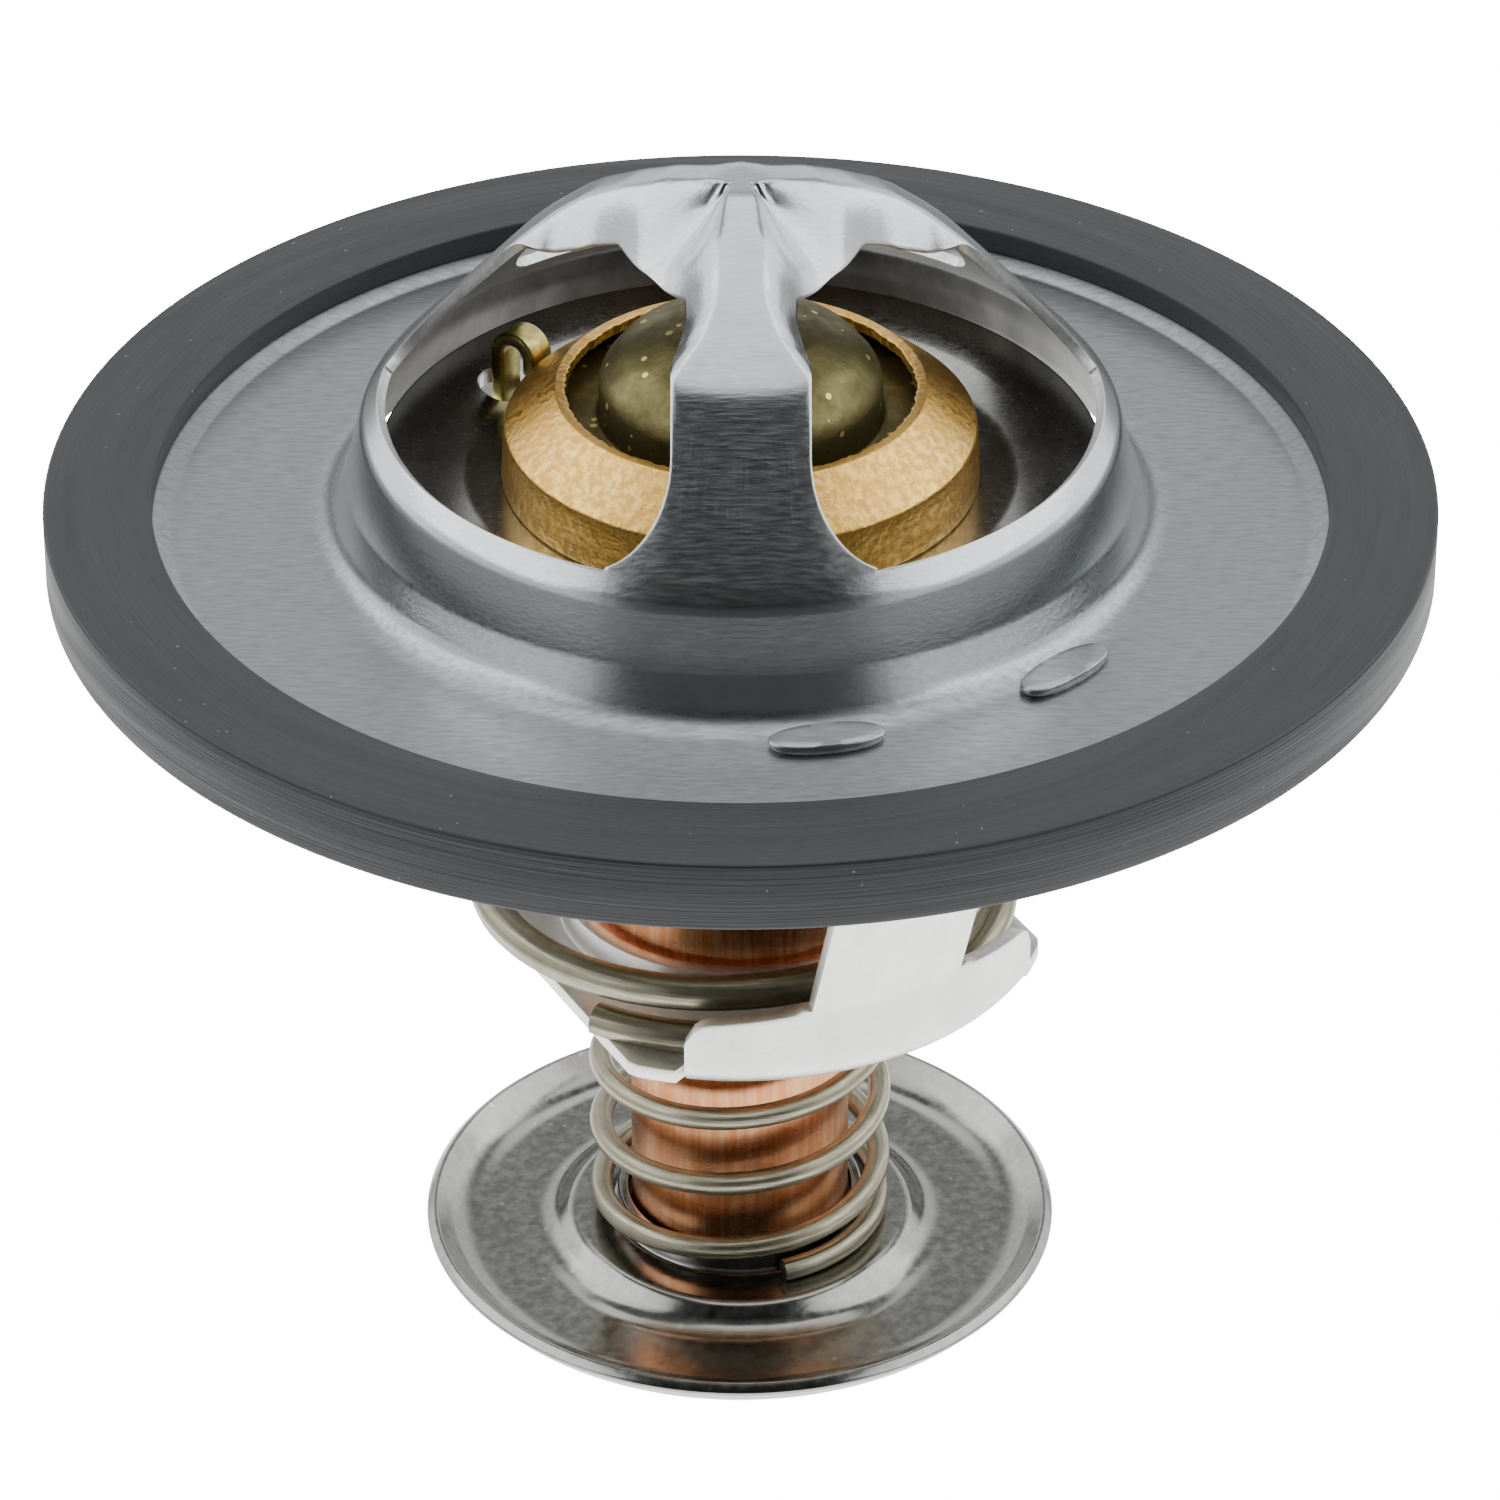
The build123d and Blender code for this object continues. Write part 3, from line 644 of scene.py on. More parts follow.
for side in (0.0, 180.0):
    # The fold and the wings, from one end to the other.
    start = len(bracket_points)
    for turn in wing_turns:
        angle = math.radians(turn + side) - math.pi / 2 + BRACKET_TURN
        foot = FLOOR_Z + FOLD
        line = [
            (WALL_RADIUS - FOLD + FOLD * math.sin(t), foot - FOLD * math.cos(t))
            for t in np.linspace(0, math.pi / 2, FOLD_STEPS + 1)
        ]
        top = WING_TOP if abs(turn) <= LEG_TURN + HAIR else wing_height(turn)
        line += [(WALL_RADIUS, foot + (top - foot) * i / WALL_STEPS) for i in range(1, WALL_STEPS + 1)]
        bracket_points += [(*turned(r, 0, angle), z) for r, z in line]
    bracket_faces += net(start, len(wing_turns), FOLD_STEPS + WALL_STEPS + 1)
    # The leg, as wide at every height as its outline.
    start = len(bracket_points)
    heights = np.linspace(WING_TOP, LEG_TOP_Z, LEG_STEPS + 1)
    for z in heights:
        for turn in leg_turns:
            aside = WALL_RADIUS * math.sin(math.radians(turn)) * leg_half_width(z) / LEG_HALF
            out = math.sqrt(wall_radius(z) ** 2 - aside**2)
            bracket_points.append((*turned(aside, -out, BRACKET_TURN + math.radians(side)), z))
    bracket_faces += net(start, len(heights), len(leg_turns))

bracket_steel, tree, shader = finish("bracket steel", (0.8, 0.8, 0.78), metallic=1.0, roughness=0.4)
smudges = with_effect(tree, grain_effect, Stretch=(1.0, 1.0, 0.5), Scale=420.0, Low=0.42, High=0.75)
fine = with_effect(tree, grain_effect, Stretch=(1.0, 1.0, 6.0), Scale=2500.0, Low=0.3, High=0.7)
tone = tinted(tree, (0.94, 0.94, 0.92), (0.8, 0.8, 0.77), smudges)
painted(tree, shader, tone, ranged(tree, fine, 0.36, 0.5))
bumped(tree, shader, fine, strength=0.12, depth=0.00004)
stirrup = piece_from("spring_stirrup", bracket_points, bracket_faces, bracket_steel)
low_face = min(stirrup.data.polygons, key=lambda p: p.center.z)
if low_face.normal.z > 0:
    stirrup.data.flip_normals()
thicken(stirrup, BRACKET_SHEET, edge_round=0.1)
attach(stirrup, "frame")
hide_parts("bracket")

# The heads of the bracket's four tabs, staked over on the flange, as rings of a share and a height.
TAB_TURNS = (10.7, 45.3, 190.7, 225.3)
TAB_RADIUS, TAB_HALF_WIDTH, TAB_HALF_LENGTH = 21.2, 1.05, 2.75
TAB_RINGS = [
    (0.86, -0.1), (0.97, 0.12), (1.0, 0.3), (0.985, 0.42), (0.93, 0.5), (0.6, 0.52), (0.0, 0.52),
]
TAB_SIDES, TAB_FULLNESS = 40, 0.8
tab_points = []
tab_faces = []
for turn in TAB_TURNS:
    angle = math.radians(turn) - math.pi / 2
    start = len(tab_points)
    for share, height in TAB_RINGS:
        for i in range(TAB_SIDES):
            t = 2 * math.pi * i / TAB_SIDES
            out = math.copysign(abs(math.cos(t)) ** TAB_FULLNESS, math.cos(t)) * TAB_HALF_WIDTH * share
            along = math.sin(t) * TAB_HALF_LENGTH * share
            tab_points.append((*turned(TAB_RADIUS + out, along, angle), FLANGE_TOP + height))
    tab_faces += net(start, len(TAB_RINGS), TAB_SIDES, rings=True)
tabs = piece_from("staked_tabs", tab_points, tab_faces, stamped_steel, sharp=50.0)
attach(tabs, "frame")


# Springs: drawn wire coiled cold, with the end turns closed and ground flat. The closing spring
# stands on the bracket's floor and tapers to the valve plate; the small one rides on the stem.
coil_tree = bpy.data.node_groups.new("Wire coil", "GeometryNodeTree")
for label, kind, value in (
    ("Foot height", "NodeSocketFloat", 0.0),
    ("Length", "NodeSocketFloat", 0.02),
    ("Foot radius", "NodeSocketFloat", 0.01),
    ("Top radius", "NodeSocketFloat", 0.01),
    ("Wire", "NodeSocketFloat", 0.001),
    ("Turns", "NodeSocketFloat", 5.0),
    ("Closed turns", "NodeSocketFloat", 0.8),
    ("Start angle", "NodeSocketFloat", 0.0),
    ("Ground depth", "NodeSocketFloat", 0.0),
    ("Finish", "NodeSocketMaterial", None),
):
    socket = coil_tree.interface.new_socket(label, in_out="INPUT", socket_type=kind)
    if value is not None:
        socket.default_value = value
coil_tree.interface.new_socket("Geometry", in_out="OUTPUT", socket_type="NodeSocketGeometry")
coil_in = coil_tree.nodes.new("NodeGroupInput").outputs
coil_out = coil_tree.nodes.new("NodeGroupOutput")


def measure(operation, *values):
    """A number of the coil, worked out from its sizes."""
    return figure(coil_tree, operation, *values)


def climb(value, start, end, height):
    sockets = {"Value": value, "From Min": start, "From Max": end, "To Max": height}
    return add_node(coil_tree, "ShaderNodeMapRange", sockets).outputs[0]


run = add_node(coil_tree, "GeometryNodeCurvePrimitiveLine")
run = add_node(coil_tree, "GeometryNodeResampleCurve", {"Curve": run.outputs[0], "Count": 520})
share = add_node(coil_tree, "GeometryNodeSplineParameter").outputs["Factor"]
closed_share = measure("DIVIDE", coil_in["Closed turns"], coil_in["Turns"])
closed_rise = measure("MULTIPLY", coil_in["Closed turns"], coil_in["Wire"])
wire_half = measure("MULTIPLY", coil_in["Wire"], 0.5)
inset = measure("SUBTRACT", wire_half, coil_in["Ground depth"])
whole = measure("SUBTRACT", coil_in["Length"], measure("MULTIPLY", inset, 2.0))
free_rise = measure("SUBTRACT", whole, measure("MULTIPLY", closed_rise, 2.0))
free_end = measure("SUBTRACT", 1.0, closed_share)
height = climb(share, 0.0, closed_share, closed_rise)
height = measure("ADD", height, climb(share, closed_share, free_end, free_rise))
height = measure("ADD", height, climb(share, free_end, 1.0, closed_rise))
height = measure("ADD", measure("ADD", height, inset), coil_in["Foot height"])
turns_done = measure("MULTIPLY", share, coil_in["Turns"])
angle = measure("MULTIPLY_ADD", turns_done, 2 * math.pi, coil_in["Start angle"])
reach = climb(share, 0.0, 1.0, measure("SUBTRACT", coil_in["Top radius"], coil_in["Foot radius"]))
reach = measure("ADD", reach, coil_in["Foot radius"])
spot = add_node(
    coil_tree, "ShaderNodeCombineXYZ",
    {
        0: measure("MULTIPLY", reach, measure("COSINE", angle)),
        1: measure("MULTIPLY", reach, measure("SINE", angle)),
        2: height,
    },
)
line = add_node(
    coil_tree, "GeometryNodeSetPosition", {"Geometry": run.outputs[0], "Position": spot.outputs[0]}
)
section = add_node(coil_tree, "GeometryNodeCurvePrimitiveCircle", {"Resolution": 20, "Radius": wire_half})
wire = add_node(
    coil_tree, "GeometryNodeCurveToMesh",
    {"Curve": line.outputs[0], "Profile Curve": section.outputs[0], "Fill Caps": True},
)
where = add_node(coil_tree, "GeometryNodeInputPosition")
where = add_node(coil_tree, "ShaderNodeSeparateXYZ", {0: where.outputs[0]})
ground = measure("MAXIMUM", where.outputs[2], coil_in["Foot height"])
ground = measure("MINIMUM", ground, measure("ADD", coil_in["Foot height"], coil_in["Length"]))
flat_end = add_node(
    coil_tree, "ShaderNodeCombineXYZ", {0: where.outputs[0], 1: where.outputs[1], 2: ground}
)
wire = add_node(
    coil_tree, "GeometryNodeSetPosition", {"Geometry": wire.outputs[0], "Position": flat_end.outputs[0]}
)
wire = add_node(coil_tree, "GeometryNodeRealizeInstances", {0: wire.outputs[0]})
wire = add_node(
    coil_tree, "GeometryNodeSetMaterial", {"Geometry": wire.outputs[0], "Material": coil_in["Finish"]}
)
coil_tree.links.new(wire.outputs[0], coil_out.inputs[0])


def spring(name, material, **sizes):
    piece = bpy.data.objects.new(name, bpy.data.meshes.new(name))
    bpy.context.collection.objects.link(piece)
    made = piece.modifiers.new("coil", "NODES")
    made.node_group = coil_tree
    sockets = {s.name: s.identifier for s in coil_tree.interface.items_tree if s.in_out == "INPUT"}
    for label, value in sizes.items():
        made[sockets[label.replace("_", " ").capitalize()]] = value
    made[sockets["Finish"]] = material
    settle(piece)
    return piece


spring_wire, tree, shader = finish("spring wire", (0.55, 0.53, 0.43), metallic=1.0, roughness=0.34)
drawing = with_effect(tree, turning_effect, Scale=3200.0, Along=1.5)
stains = with_effect(tree, grain_effect, Scale=420.0, Low=0.4, High=0.75)
tone = tinted(tree, (0.29, 0.275, 0.2), (0.44, 0.42, 0.32), drawing)
tone = tinted(tree, tone, (0.25, 0.235, 0.17), stains)
painted(tree, shader, tone, ranged(tree, drawing, 0.42, 0.28))
bumped(tree, shader, drawing, strength=0.2, depth=0.00005)

closing = spring(
    "closing_spring", spring_wire, foot_height=20.45 * MM, length=23.9 * MM, foot_radius=13.1 * MM,
    top_radius=10.6 * MM, wire=1.75 * MM, turns=5.4, closed_turns=0.9, start_angle=math.radians(-122),
    ground_depth=0.5 * MM,
)
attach(closing, "frame")
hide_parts("main_spring")
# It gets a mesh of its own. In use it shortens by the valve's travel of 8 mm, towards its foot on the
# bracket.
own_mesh(closing)

bypass = spring(
    "bypass_coil", spring_wire, foot_height=1.9 * MM, length=16.4 * MM, foot_radius=7.05 * MM,
    top_radius=7.05 * MM, wire=1.15 * MM, turns=4.9, closed_turns=0.75, start_angle=math.radians(-72),
    ground_depth=0.0,
)
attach(bypass, "element")
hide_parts("bypass_spring")
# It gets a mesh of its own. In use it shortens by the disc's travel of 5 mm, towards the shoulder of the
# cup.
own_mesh(bypass)


# Wax cup: drawn from copper, a wide barrel with a narrow stem below it. The drawing leaves bright
# stretch marks along it and bands round it. It is closed below and flanged on top.
cup_line = rounded(
    [
        (0.0, 0.3), (5.0, 0.3), (5.0, 1.2), (5.5, 1.2), (5.5, 17.7), (6.0, 18.3), (8.0, 18.3), (8.0, 45.15),
        (10.8, 45.15), (10.8, 46.35), (7.2, 46.35), (7.2, 19.1), (4.7, 19.1), (4.7, 2.0), (0.0, 2.0),
    ],
    [0, 0.15, 0.1, 0.15, 0.5, 0.3, 0.9, 0.3, 0.15, 0.15, 0.15, 0.2, 0.2, 0.2, 0],
)
cup_copper, tree, shader = finish("cup copper", (0.78, 0.46, 0.33), metallic=1.0, roughness=0.28)
stretch_marks = with_effect(tree, grain_effect, Stretch=(1.0, 1.0, 0.06), Scale=2600.0, Low=0.4, High=0.62)
bands = with_effect(tree, turning_effect, Scale=700.0, Along=2.0)
tarnish = with_effect(tree, grain_effect, Stretch=(1.0, 1.0, 0.4), Scale=260.0, Low=0.5, High=1.1)
tone = tinted(tree, (0.68, 0.28, 0.12), (0.8, 0.42, 0.23), stretch_marks)
tone = tinted(tree, tone, (0.6, 0.25, 0.11), tarnish)
painted(tree, shader, tone, ranged(tree, bands, 0.24, 0.31))
cup = lathe("copper_cup", cup_line, cup_copper, segments=160, closed=False)
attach(cup, "element")
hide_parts("wax_cup")


# Wax charge and rubber boot: sealed inside the cup. The boot is a blind sleeve round the piston,
# with a disc on top that is clamped between the cup and the guide.
wax, tree, shader = finish("cast wax", (0.78, 0.7, 0.5), metallic=0.0, roughness=0.6)
grains = with_effect(tree, grain_effect, Scale=900.0)
painted(tree, shader, tinted(tree, (0.72, 0.63, 0.42), (0.82, 0.75, 0.57), grains))
boot_rubber, tree, shader = finish("boot rubber", (0.03, 0.03, 0.03), metallic=0.0, roughness=0.6)
grains = with_effect(tree, grain_effect, Scale=1600.0)
painted(tree, shader, tinted(tree, (0.02, 0.02, 0.02), (0.05, 0.05, 0.05), grains))
for node, material in (("wax_pellet", wax), ("rubber_boot", boot_rubber)):
    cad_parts[node].data.materials.clear()
    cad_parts[node].data.materials.append(material)


# Piston guide: a plated plug with a low dome, clamped over the boot. The plating is dull olive with
# yellow points where it has worn through, and the piston comes out of its middle.
guide_section = rounded(
    [
        (2.05, 47.35), (10.55, 47.35), (9.3, 48.4), (6.8, 48.4), (6.8, 50.6), (5.6, 52.1), (3.6, 53.1),
        (2.05, 53.4), (2.05, 47.35),
    ],
    [0, 0.1, 0.1, 0.3, 1.6, 2.5, 2.5, 0.25, 0],
    steps=6,
)[:-1]
guide_plating, tree, shader = finish("guide plating", (0.34, 0.32, 0.19), metallic=1.0, roughness=0.45)
mottle = with_effect(tree, grain_effect, Scale=750.0, Low=0.35, High=0.68)
points_worn = with_effect(tree, speck_effect, Scale=1700.0, Size=0.32, Share=0.3)
tone = tinted(tree, (0.14, 0.125, 0.052), (0.21, 0.19, 0.085), mottle)
tone = tinted(tree, tone, (0.75, 0.66, 0.25), points_worn)
painted(tree, shader, tone, ranged(tree, mottle, 0.56, 0.42))
bumped(tree, shader, mottle, strength=0.25, depth=0.00008)
guide = lathe("guide_dome", guide_section, guide_plating, segments=160)
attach(guide, "element")
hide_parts("piston_guide")


# Crimp collar: a turned brass ring whose top is rolled inwards as a cone over the guide's flange.
# Rolling leaves the cone mottled and its inner lip rough.
collar_section = closed_section(
    [
        (10.85, 45.15), (11.5, 45.15), (11.35, 47.9), (10.86, 48.31), (9.27, 49.64), (8.9, 49.95),
        (8.4, 49.95), (8.4, 49.45), (10.65, 47.55), (10.85, 47.35),
    ],
    [0.0, 0.15, 0.3, 0.0, 0.0, 0.15, 0.12, 0.1, 0.1, 0.0],
)
collar_brass, tree, shader = finish("collar brass", (0.72, 0.5, 0.27), metallic=1.0, roughness=0.36)
mottle = with_effect(tree, grain_effect, Scale=520.0, Low=0.4, High=0.68)
pits = with_effect(tree, grain_effect, Scale=2400.0, Low=0.4, High=0.62)
lines = with_effect(tree, turning_effect, Scale=2800.0, Along=2.0)
tone = tinted(tree, (0.9, 0.55, 0.13), (0.96, 0.66, 0.23), mottle)
tone = tinted(tree, (0.7, 0.41, 0.1), tone, pits)
painted(tree, shader, tone, ranged(tree, pits, 0.46, 0.3))
bumped(tree, shader, summed(tree, pits, lines, 0.5), strength=0.22, depth=0.00007)
COLLAR_SIDES = 240
LIP_RADIUS, LIP_Z, LIP_TEAR = 8.62, 49.4, (-0.08, 0.05)
collar = lathe("crimped_collar", collar_section, collar_brass, segments=COLLAR_SIDES)
torn = np.random.default_rng(7).uniform(*LIP_TEAR, COLLAR_SIDES)
for vertex in collar.data.vertices:
    reach = math.hypot(vertex.co.x, vertex.co.y)
    if reach < LIP_RADIUS * MM and vertex.co.z > LIP_Z * MM:
        part = math.atan2(vertex.co.y, vertex.co.x) / (2 * math.pi) * COLLAR_SIDES
        scale = 1 + torn[round(part) % COLLAR_SIDES] * MM / reach
        vertex.co.x *= scale
        vertex.co.y *= scale
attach(collar, "element")
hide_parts("crimp_collar")


# Valve plate: a pressed disc round the cup, its lip dished to close against the collar. A vent hole
# is punched near the edge.
VENT_RADIUS, VENT_TURN = 14.0, math.radians(-125.0)
VENT_AT = (VENT_RADIUS * math.sin(VENT_TURN), -VENT_RADIUS * math.cos(VENT_TURN))
VENT_HOLE, PUNCH_FOOT, PUNCH_TOP = 1.4, 40.0, 50.0
valve_section = closed_section(
    [
        (8.02, 44.35), (13.3, 44.35), (15.0, 44.75), (17.48, 45.25), (17.48, 46.05), (14.8, 45.55),
        (13.1, 45.15), (8.02, 45.15),
    ],
    [0.0, 2.5, 2.5, 0.15, 0.15, 2.5, 2.5, 0.0],
)
valve_steel, tree, shader = finish("valve steel", (0.24, 0.245, 0.25), metallic=1.0, roughness=0.24)
clouds = with_effect(tree, grain_effect, Scale=300.0, Low=0.35, High=0.7)
lines = with_effect(tree, grain_effect, Stretch=(1.0, 4.0, 1.0), Scale=2200.0, Low=0.3, High=0.7)
tone = tinted(tree, (0.34, 0.345, 0.335), (0.48, 0.485, 0.465), clouds)
painted(tree, shader, tone, ranged(tree, lines, 0.18, 0.28))
bumped(tree, shader, lines, strength=0.1, depth=0.00002)
valve = lathe("valve_disc", valve_section, valve_steel, segments=192)
punch = lathe(
    "vent_punch",
    [(0.0, PUNCH_FOOT), (VENT_HOLE, PUNCH_FOOT), (VENT_HOLE, PUNCH_TOP), (0.0, PUNCH_TOP)],
    valve_steel, segments=40, closed=False,
)


def move_to_vent(piece):
    for vertex in piece.data.vertices:
        vertex.co.x += VENT_AT[0] * MM
        vertex.co.y += VENT_AT[1] * MM


move_to_vent(punch)
cut = valve.modifiers.new("vent", "BOOLEAN")
cut.operation = "DIFFERENCE"
cut.object = punch
settle(valve)
bpy.data.objects.remove(punch)
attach(valve, "element")
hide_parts("valve_plate")


# Vent pin: a strip of yellow-plated brass through the vent hole, curled over on top so that it
# can't drop, with a small weight below the plate.
PIN_WIDTH, PIN_THICKNESS = 1.6, 0.7
PIN_FOOT, PIN_SHANK = 42.4, 43.5
CURL, CURL_Z, CURL_DROPS = 0.95, 47.5, (0.25, 0.8)
pin_path = [(0.0, PIN_FOOT)] + [(0.0, z) for z in np.linspace(PIN_SHANK, CURL_Z, 8)]
pin_path += [
    (CURL - CURL * math.cos(t), CURL_Z + CURL * math.sin(t)) for t in np.linspace(0, math.pi, 15)[1:]
]
pin_path += [(2 * CURL, CURL_Z - drop) for drop in CURL_DROPS]
inward = (-VENT_AT[0] / VENT_RADIUS, -VENT_AT[1] / VENT_RADIUS)
pin_points = []
for i, (x, z) in enumerate(pin_path):
    x0, z0 = pin_path[max(i - 1, 0)]
    x1, z1 = pin_path[min(i + 1, len(pin_path) - 1)]
    length = math.hypot(x1 - x0, z1 - z0)
    nx, nz = (z1 - z0) / length, -(x1 - x0) / length
    for across, aside in ((-1, -1), (-1, 1), (1, 1), (1, -1)):
        h = PIN_THICKNESS / 2 * across
        out, over = x + nx * h, aside * PIN_WIDTH / 2
        pin_points.append(
            (
                VENT_AT[0] + out * inward[0] - over * inward[1],
                VENT_AT[1] + out * inward[1] + over * inward[0],
                z + nz * h,
            )
        )
pin_faces = net(0, len(pin_path), 4, rings=True)
pin_faces += [(0, 1, 2, 3), tuple(4 * (len(pin_path) - 1) + j for j in range(4))]
pin_plating, tree, shader = finish("pin plating", (0.55, 0.46, 0.16), metallic=1.0, roughness=0.35)
stains = with_effect(tree, grain_effect, Scale=1500.0, Low=0.35, High=0.7)
tone = tinted(tree, (0.44, 0.37, 0.13), (0.7, 0.62, 0.26), stains)
painted(tree, shader, tone, ranged(tree, stains, 0.42, 0.28))
pin = piece_from("vent_pin", pin_points, pin_faces, pin_plating)
round_edges(pin, 0.16, segments=3, least_turn=50)
settle(pin)
weight = lathe(
    "vent_weight",
    rounded([(0.0, 41.75), (1.7, 41.75), (1.7, 43.35), (0.0, 43.35)], [0, 0.3, 0.3, 0]),
    pin_plating, segments=48, closed=False,
)
move_to_vent(weight)
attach(pin, "vent")
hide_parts("jiggle_pin")
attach(weight, "vent")


# Piston: a ground steel rod. It stands in the guide, with its foot in the boot, and its tapered top
# bears against the crown from below.
piston_line = rounded(
    [(0.0, 31.85), (2.0, 31.85), (2.0, 57.5), (0.75, 59.0), (0.0, 59.0)], [0, 0.5, 0.2, 0.15, 0]
)
piston_steel, tree, shader = finish("piston steel", (0.72, 0.72, 0.72), metallic=1.0, roughness=0.2)
lines = with_effect(tree, turning_effect, Scale=4000.0, Along=1.0, Low=0.3, High=0.7)
tone = tinted(tree, (0.66, 0.66, 0.66), (0.78, 0.78, 0.77), lines)
painted(tree, shader, tone, ranged(tree, lines, 0.16, 0.3))
rod = lathe("piston_rod", piston_line, piston_steel, segments=64, closed=False)
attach(rod, "frame")
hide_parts("piston")


# Bypass disc: pressed from bright steel, with an upturned rim, a raised hub under the spring and a
# drawn neck on the stem. It stands on its flat annulus.
disc_section = closed_section(
    [
        (5.65, 1.2), (7.9, 1.2), (9.1, 0.0), (14.46, 0.0), (16.05, 1.72), (15.54, 2.2), (14.15, 0.7),
        (9.8, 0.7), (8.6, 1.9), (6.25, 1.9), (6.25, 3.2), (5.65, 3.2),
    ],
    [0.5, 0.6, 1.6, 2.6, 0.2, 0.2, 2.2, 2.6, 0.7, 0.35, 0.2, 0.2],
    steps=8,
)
disc_steel, tree, shader = finish("disc steel", (0.26, 0.26, 0.255), metallic=1.0, roughness=0.2)
lines = with_effect(tree, turning_effect, Scale=1800.0, Along=4.0)
orange_peel = with_effect(tree, grain_effect, Scale=1900.0)
spots = with_effect(tree, speck_effect, Scale=1300.0, Size=0.22, Share=0.2)
tone = tinted(tree, (0.29, 0.29, 0.275), (0.36, 0.36, 0.345), orange_peel)
tone = tinted(tree, tone, (0.46, 0.46, 0.445), spots)
painted(tree, shader, tone, ranged(tree, orange_peel, 0.15, 0.21))
bumped(tree, shader, lines, strength=0.05, depth=0.00003)
disc = lathe("bypass_plate", disc_section, disc_steel, segments=192)
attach(disc, "bypass")
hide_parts("bypass_disc")


# Stem clip: a flat steel ring, pressed on the end of the stem. It lies in the recess under the disc's
# hub and keeps the disc on.
clip_section = closed_section([(5.02, 0.65), (7.3, 0.65), (7.3, 1.2), (5.02, 1.2)], 0.08)
clip_steel, tree, shader = finish("clip steel", (0.5, 0.51, 0.52), metallic=1.0, roughness=0.35)
lines = with_effect(tree, grain_effect, Stretch=(1.0, 4.0, 1.0), Scale=1800.0)
painted(tree, shader, tinted(tree, (0.44, 0.45, 0.46), (0.6, 0.61, 0.62), lines))
clip = lathe("stem_ring", clip_section, clip_steel, segments=96)
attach(clip, "element")
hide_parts("stem_clip")


# Floor, light and camera: a pale sweep, low enough for the opened valve and clear from below, soft
# boxes at both sides, a dark room behind the camera, and a long lens that looks down.
FLOOR_DROP = 0.0085
PITCH, ROLL, YAW = (math.radians(a) for a in (90 - 32.561, -0.1, -0.081))
floor_mesh = bpy.data.meshes.new("floor")
floor_mesh.from_pydata([(-4, -4, 0), (4, -4, 0), (4, 4, 0), (-4, 4, 0)], [], [(0, 1, 2, 3)])
floor_paint, tree, shader = finish("floor paint", (0.12, 0.12, 0.12), metallic=0.0, roughness=0.9)
shader.inputs["Emission Color"].default_value = (1.0, 1.0, 1.0, 1.0)
seen = add_node(tree, "ShaderNodeLightPath")
place = add_node(tree, "ShaderNodeTexCoord")
away = add_node(tree, "ShaderNodeVectorMath", {0: place.outputs["Object"]}, operation="LENGTH")
lit = add_node(
    tree, "ShaderNodeMapRange",
    {"Value": away.outputs["Value"], "From Min": 0.09, "From Max": 0.17, "To Min": 2.4, "To Max": 0.1},
)
facing = add_node(tree, "ShaderNodeNewGeometry")
from_above = add_node(
    tree, "ShaderNodeMapRange", {"Value": facing.outputs["Backfacing"], "To Min": 1.0, "To Max": 0.0}
)
tree.links.new(from_above.outputs[0], shader.inputs["Alpha"])
bright = add_node(
    tree, "ShaderNodeMapRange",
    {"Value": seen.outputs["Is Camera Ray"], "To Min": lit.outputs[0], "To Max": 16.0},
)
tree.links.new(bright.outputs[0], shader.inputs["Emission Strength"])
floor_mesh.materials.append(floor_paint)
floor = bpy.data.objects.new("floor", floor_mesh)
bpy.context.collection.objects.link(floor)
floor.location.z = -FLOOR_DROP

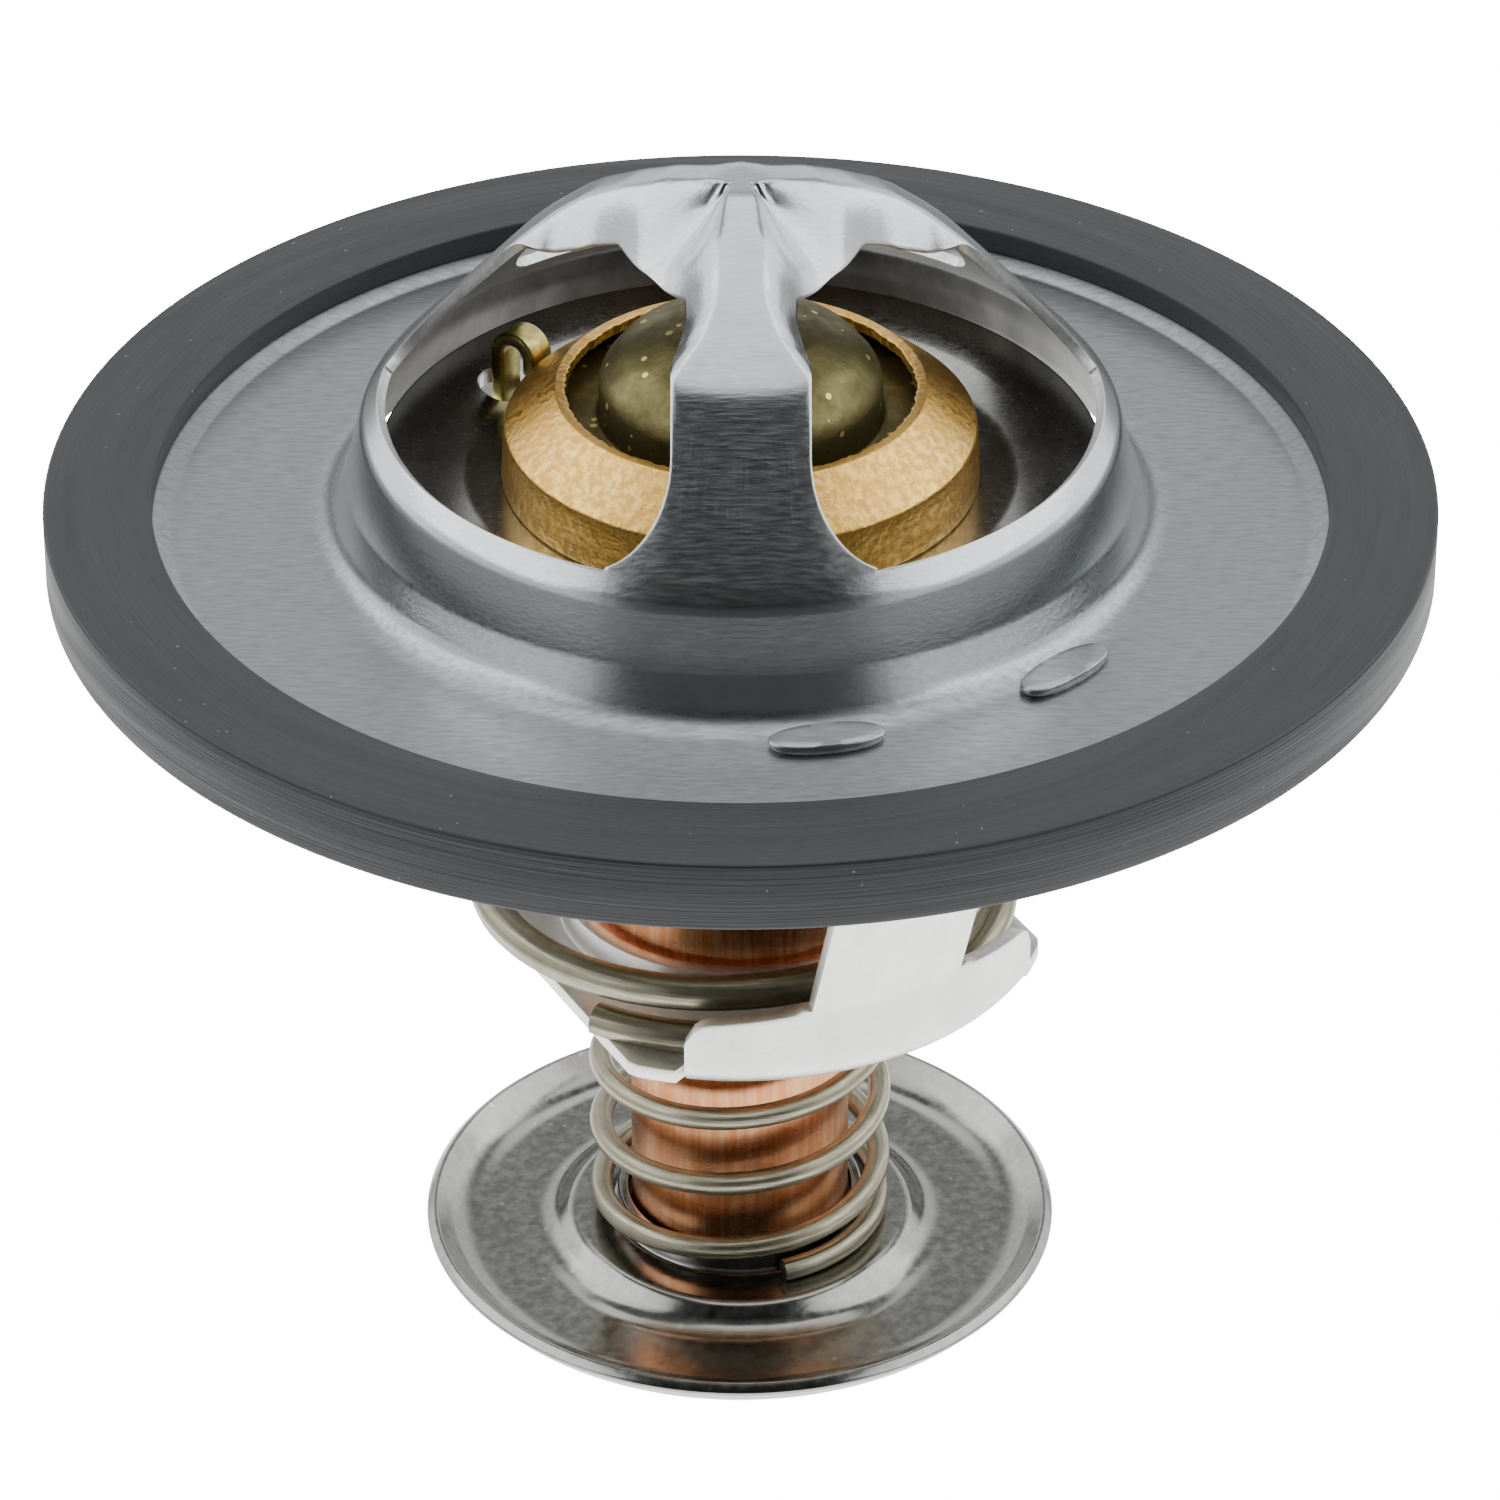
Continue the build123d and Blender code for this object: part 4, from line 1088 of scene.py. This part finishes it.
world = bpy.data.worlds.new("studio")
bpy.context.scene.world = world
world.use_nodes = True
sky = world.node_tree
for node in list(sky.nodes):
    sky.nodes.remove(node)
view = add_node(sky, "ShaderNodeTexCoord")
axes = add_node(sky, "ShaderNodeSeparateXYZ", {0: view.outputs["Generated"]})
back = add_node(
    sky, "ShaderNodeMapRange",
    {"Value": axes.outputs[1], "From Min": -0.1, "From Max": 0.6, "To Min": 0.022, "To Max": 0.34},
)
sweep = add_node(
    sky, "ShaderNodeMapRange",
    {"Value": axes.outputs[2], "From Min": 0.42, "From Max": 0.56, "To Min": 3.5, "To Max": 1.0},
)
back = figure(sky, "MULTIPLY", back.outputs[0], sweep.outputs[0])
upward = add_node(
    sky, "ShaderNodeVectorMath", {0: view.outputs["Generated"], 1: (0.0, 0.187, 0.982)},
    operation="DOT_PRODUCT",
)
overhead = add_node(
    sky, "ShaderNodeMapRange",
    {"Value": upward.outputs["Value"], "From Min": 0.757, "From Max": 0.831, "To Min": 0.0, "To Max": 1.5},
    interpolation_type="SMOOTHSTEP",
)
aside = figure(sky, "ABSOLUTE", axes.outputs[0])
sides = add_node(
    sky, "ShaderNodeMapRange",
    {"Value": aside, "From Min": 0.5, "From Max": 0.75, "To Min": 0.0, "To Max": 0.8},
    interpolation_type="SMOOTHSTEP",
)
level = figure(sky, "ADD", figure(sky, "ADD", back, overhead.outputs[0]), sides.outputs[0])
glow = add_node(sky, "ShaderNodeBackground", {"Color": (1.0, 1.0, 1.0, 1.0), "Strength": level})
add_node(sky, "ShaderNodeOutputWorld", {0: glow.outputs[0]})


def soft_box(name, place, aim, width, height, power):
    light = bpy.data.lights.new(name, "AREA")
    light.shape = "RECTANGLE"
    light.size = width
    light.size_y = height
    light.energy = power
    box = bpy.data.objects.new(name, light)
    box.location = place
    box.rotation_euler = (box.location - Vector(aim)).to_track_quat("Z", "Y").to_euler()
    bpy.context.collection.objects.link(box)


for name, side in (("left box", -0.6), ("right box", 0.6)):
    soft_box(name, (side, -0.02, 0.5), aim=(0, 0, 0.04), width=0.9, height=0.45, power=2.2)

camera_data = bpy.data.cameras.new("camera")
camera_data.lens = 181.9
camera_data.sensor_width = 36.0
camera = bpy.data.objects.new("camera", camera_data)
camera.location = (-0.00032, -0.31426, 0.22994)
camera.rotation_euler = (PITCH, ROLL, YAW)
bpy.context.collection.objects.link(camera)
bpy.context.scene.camera = camera
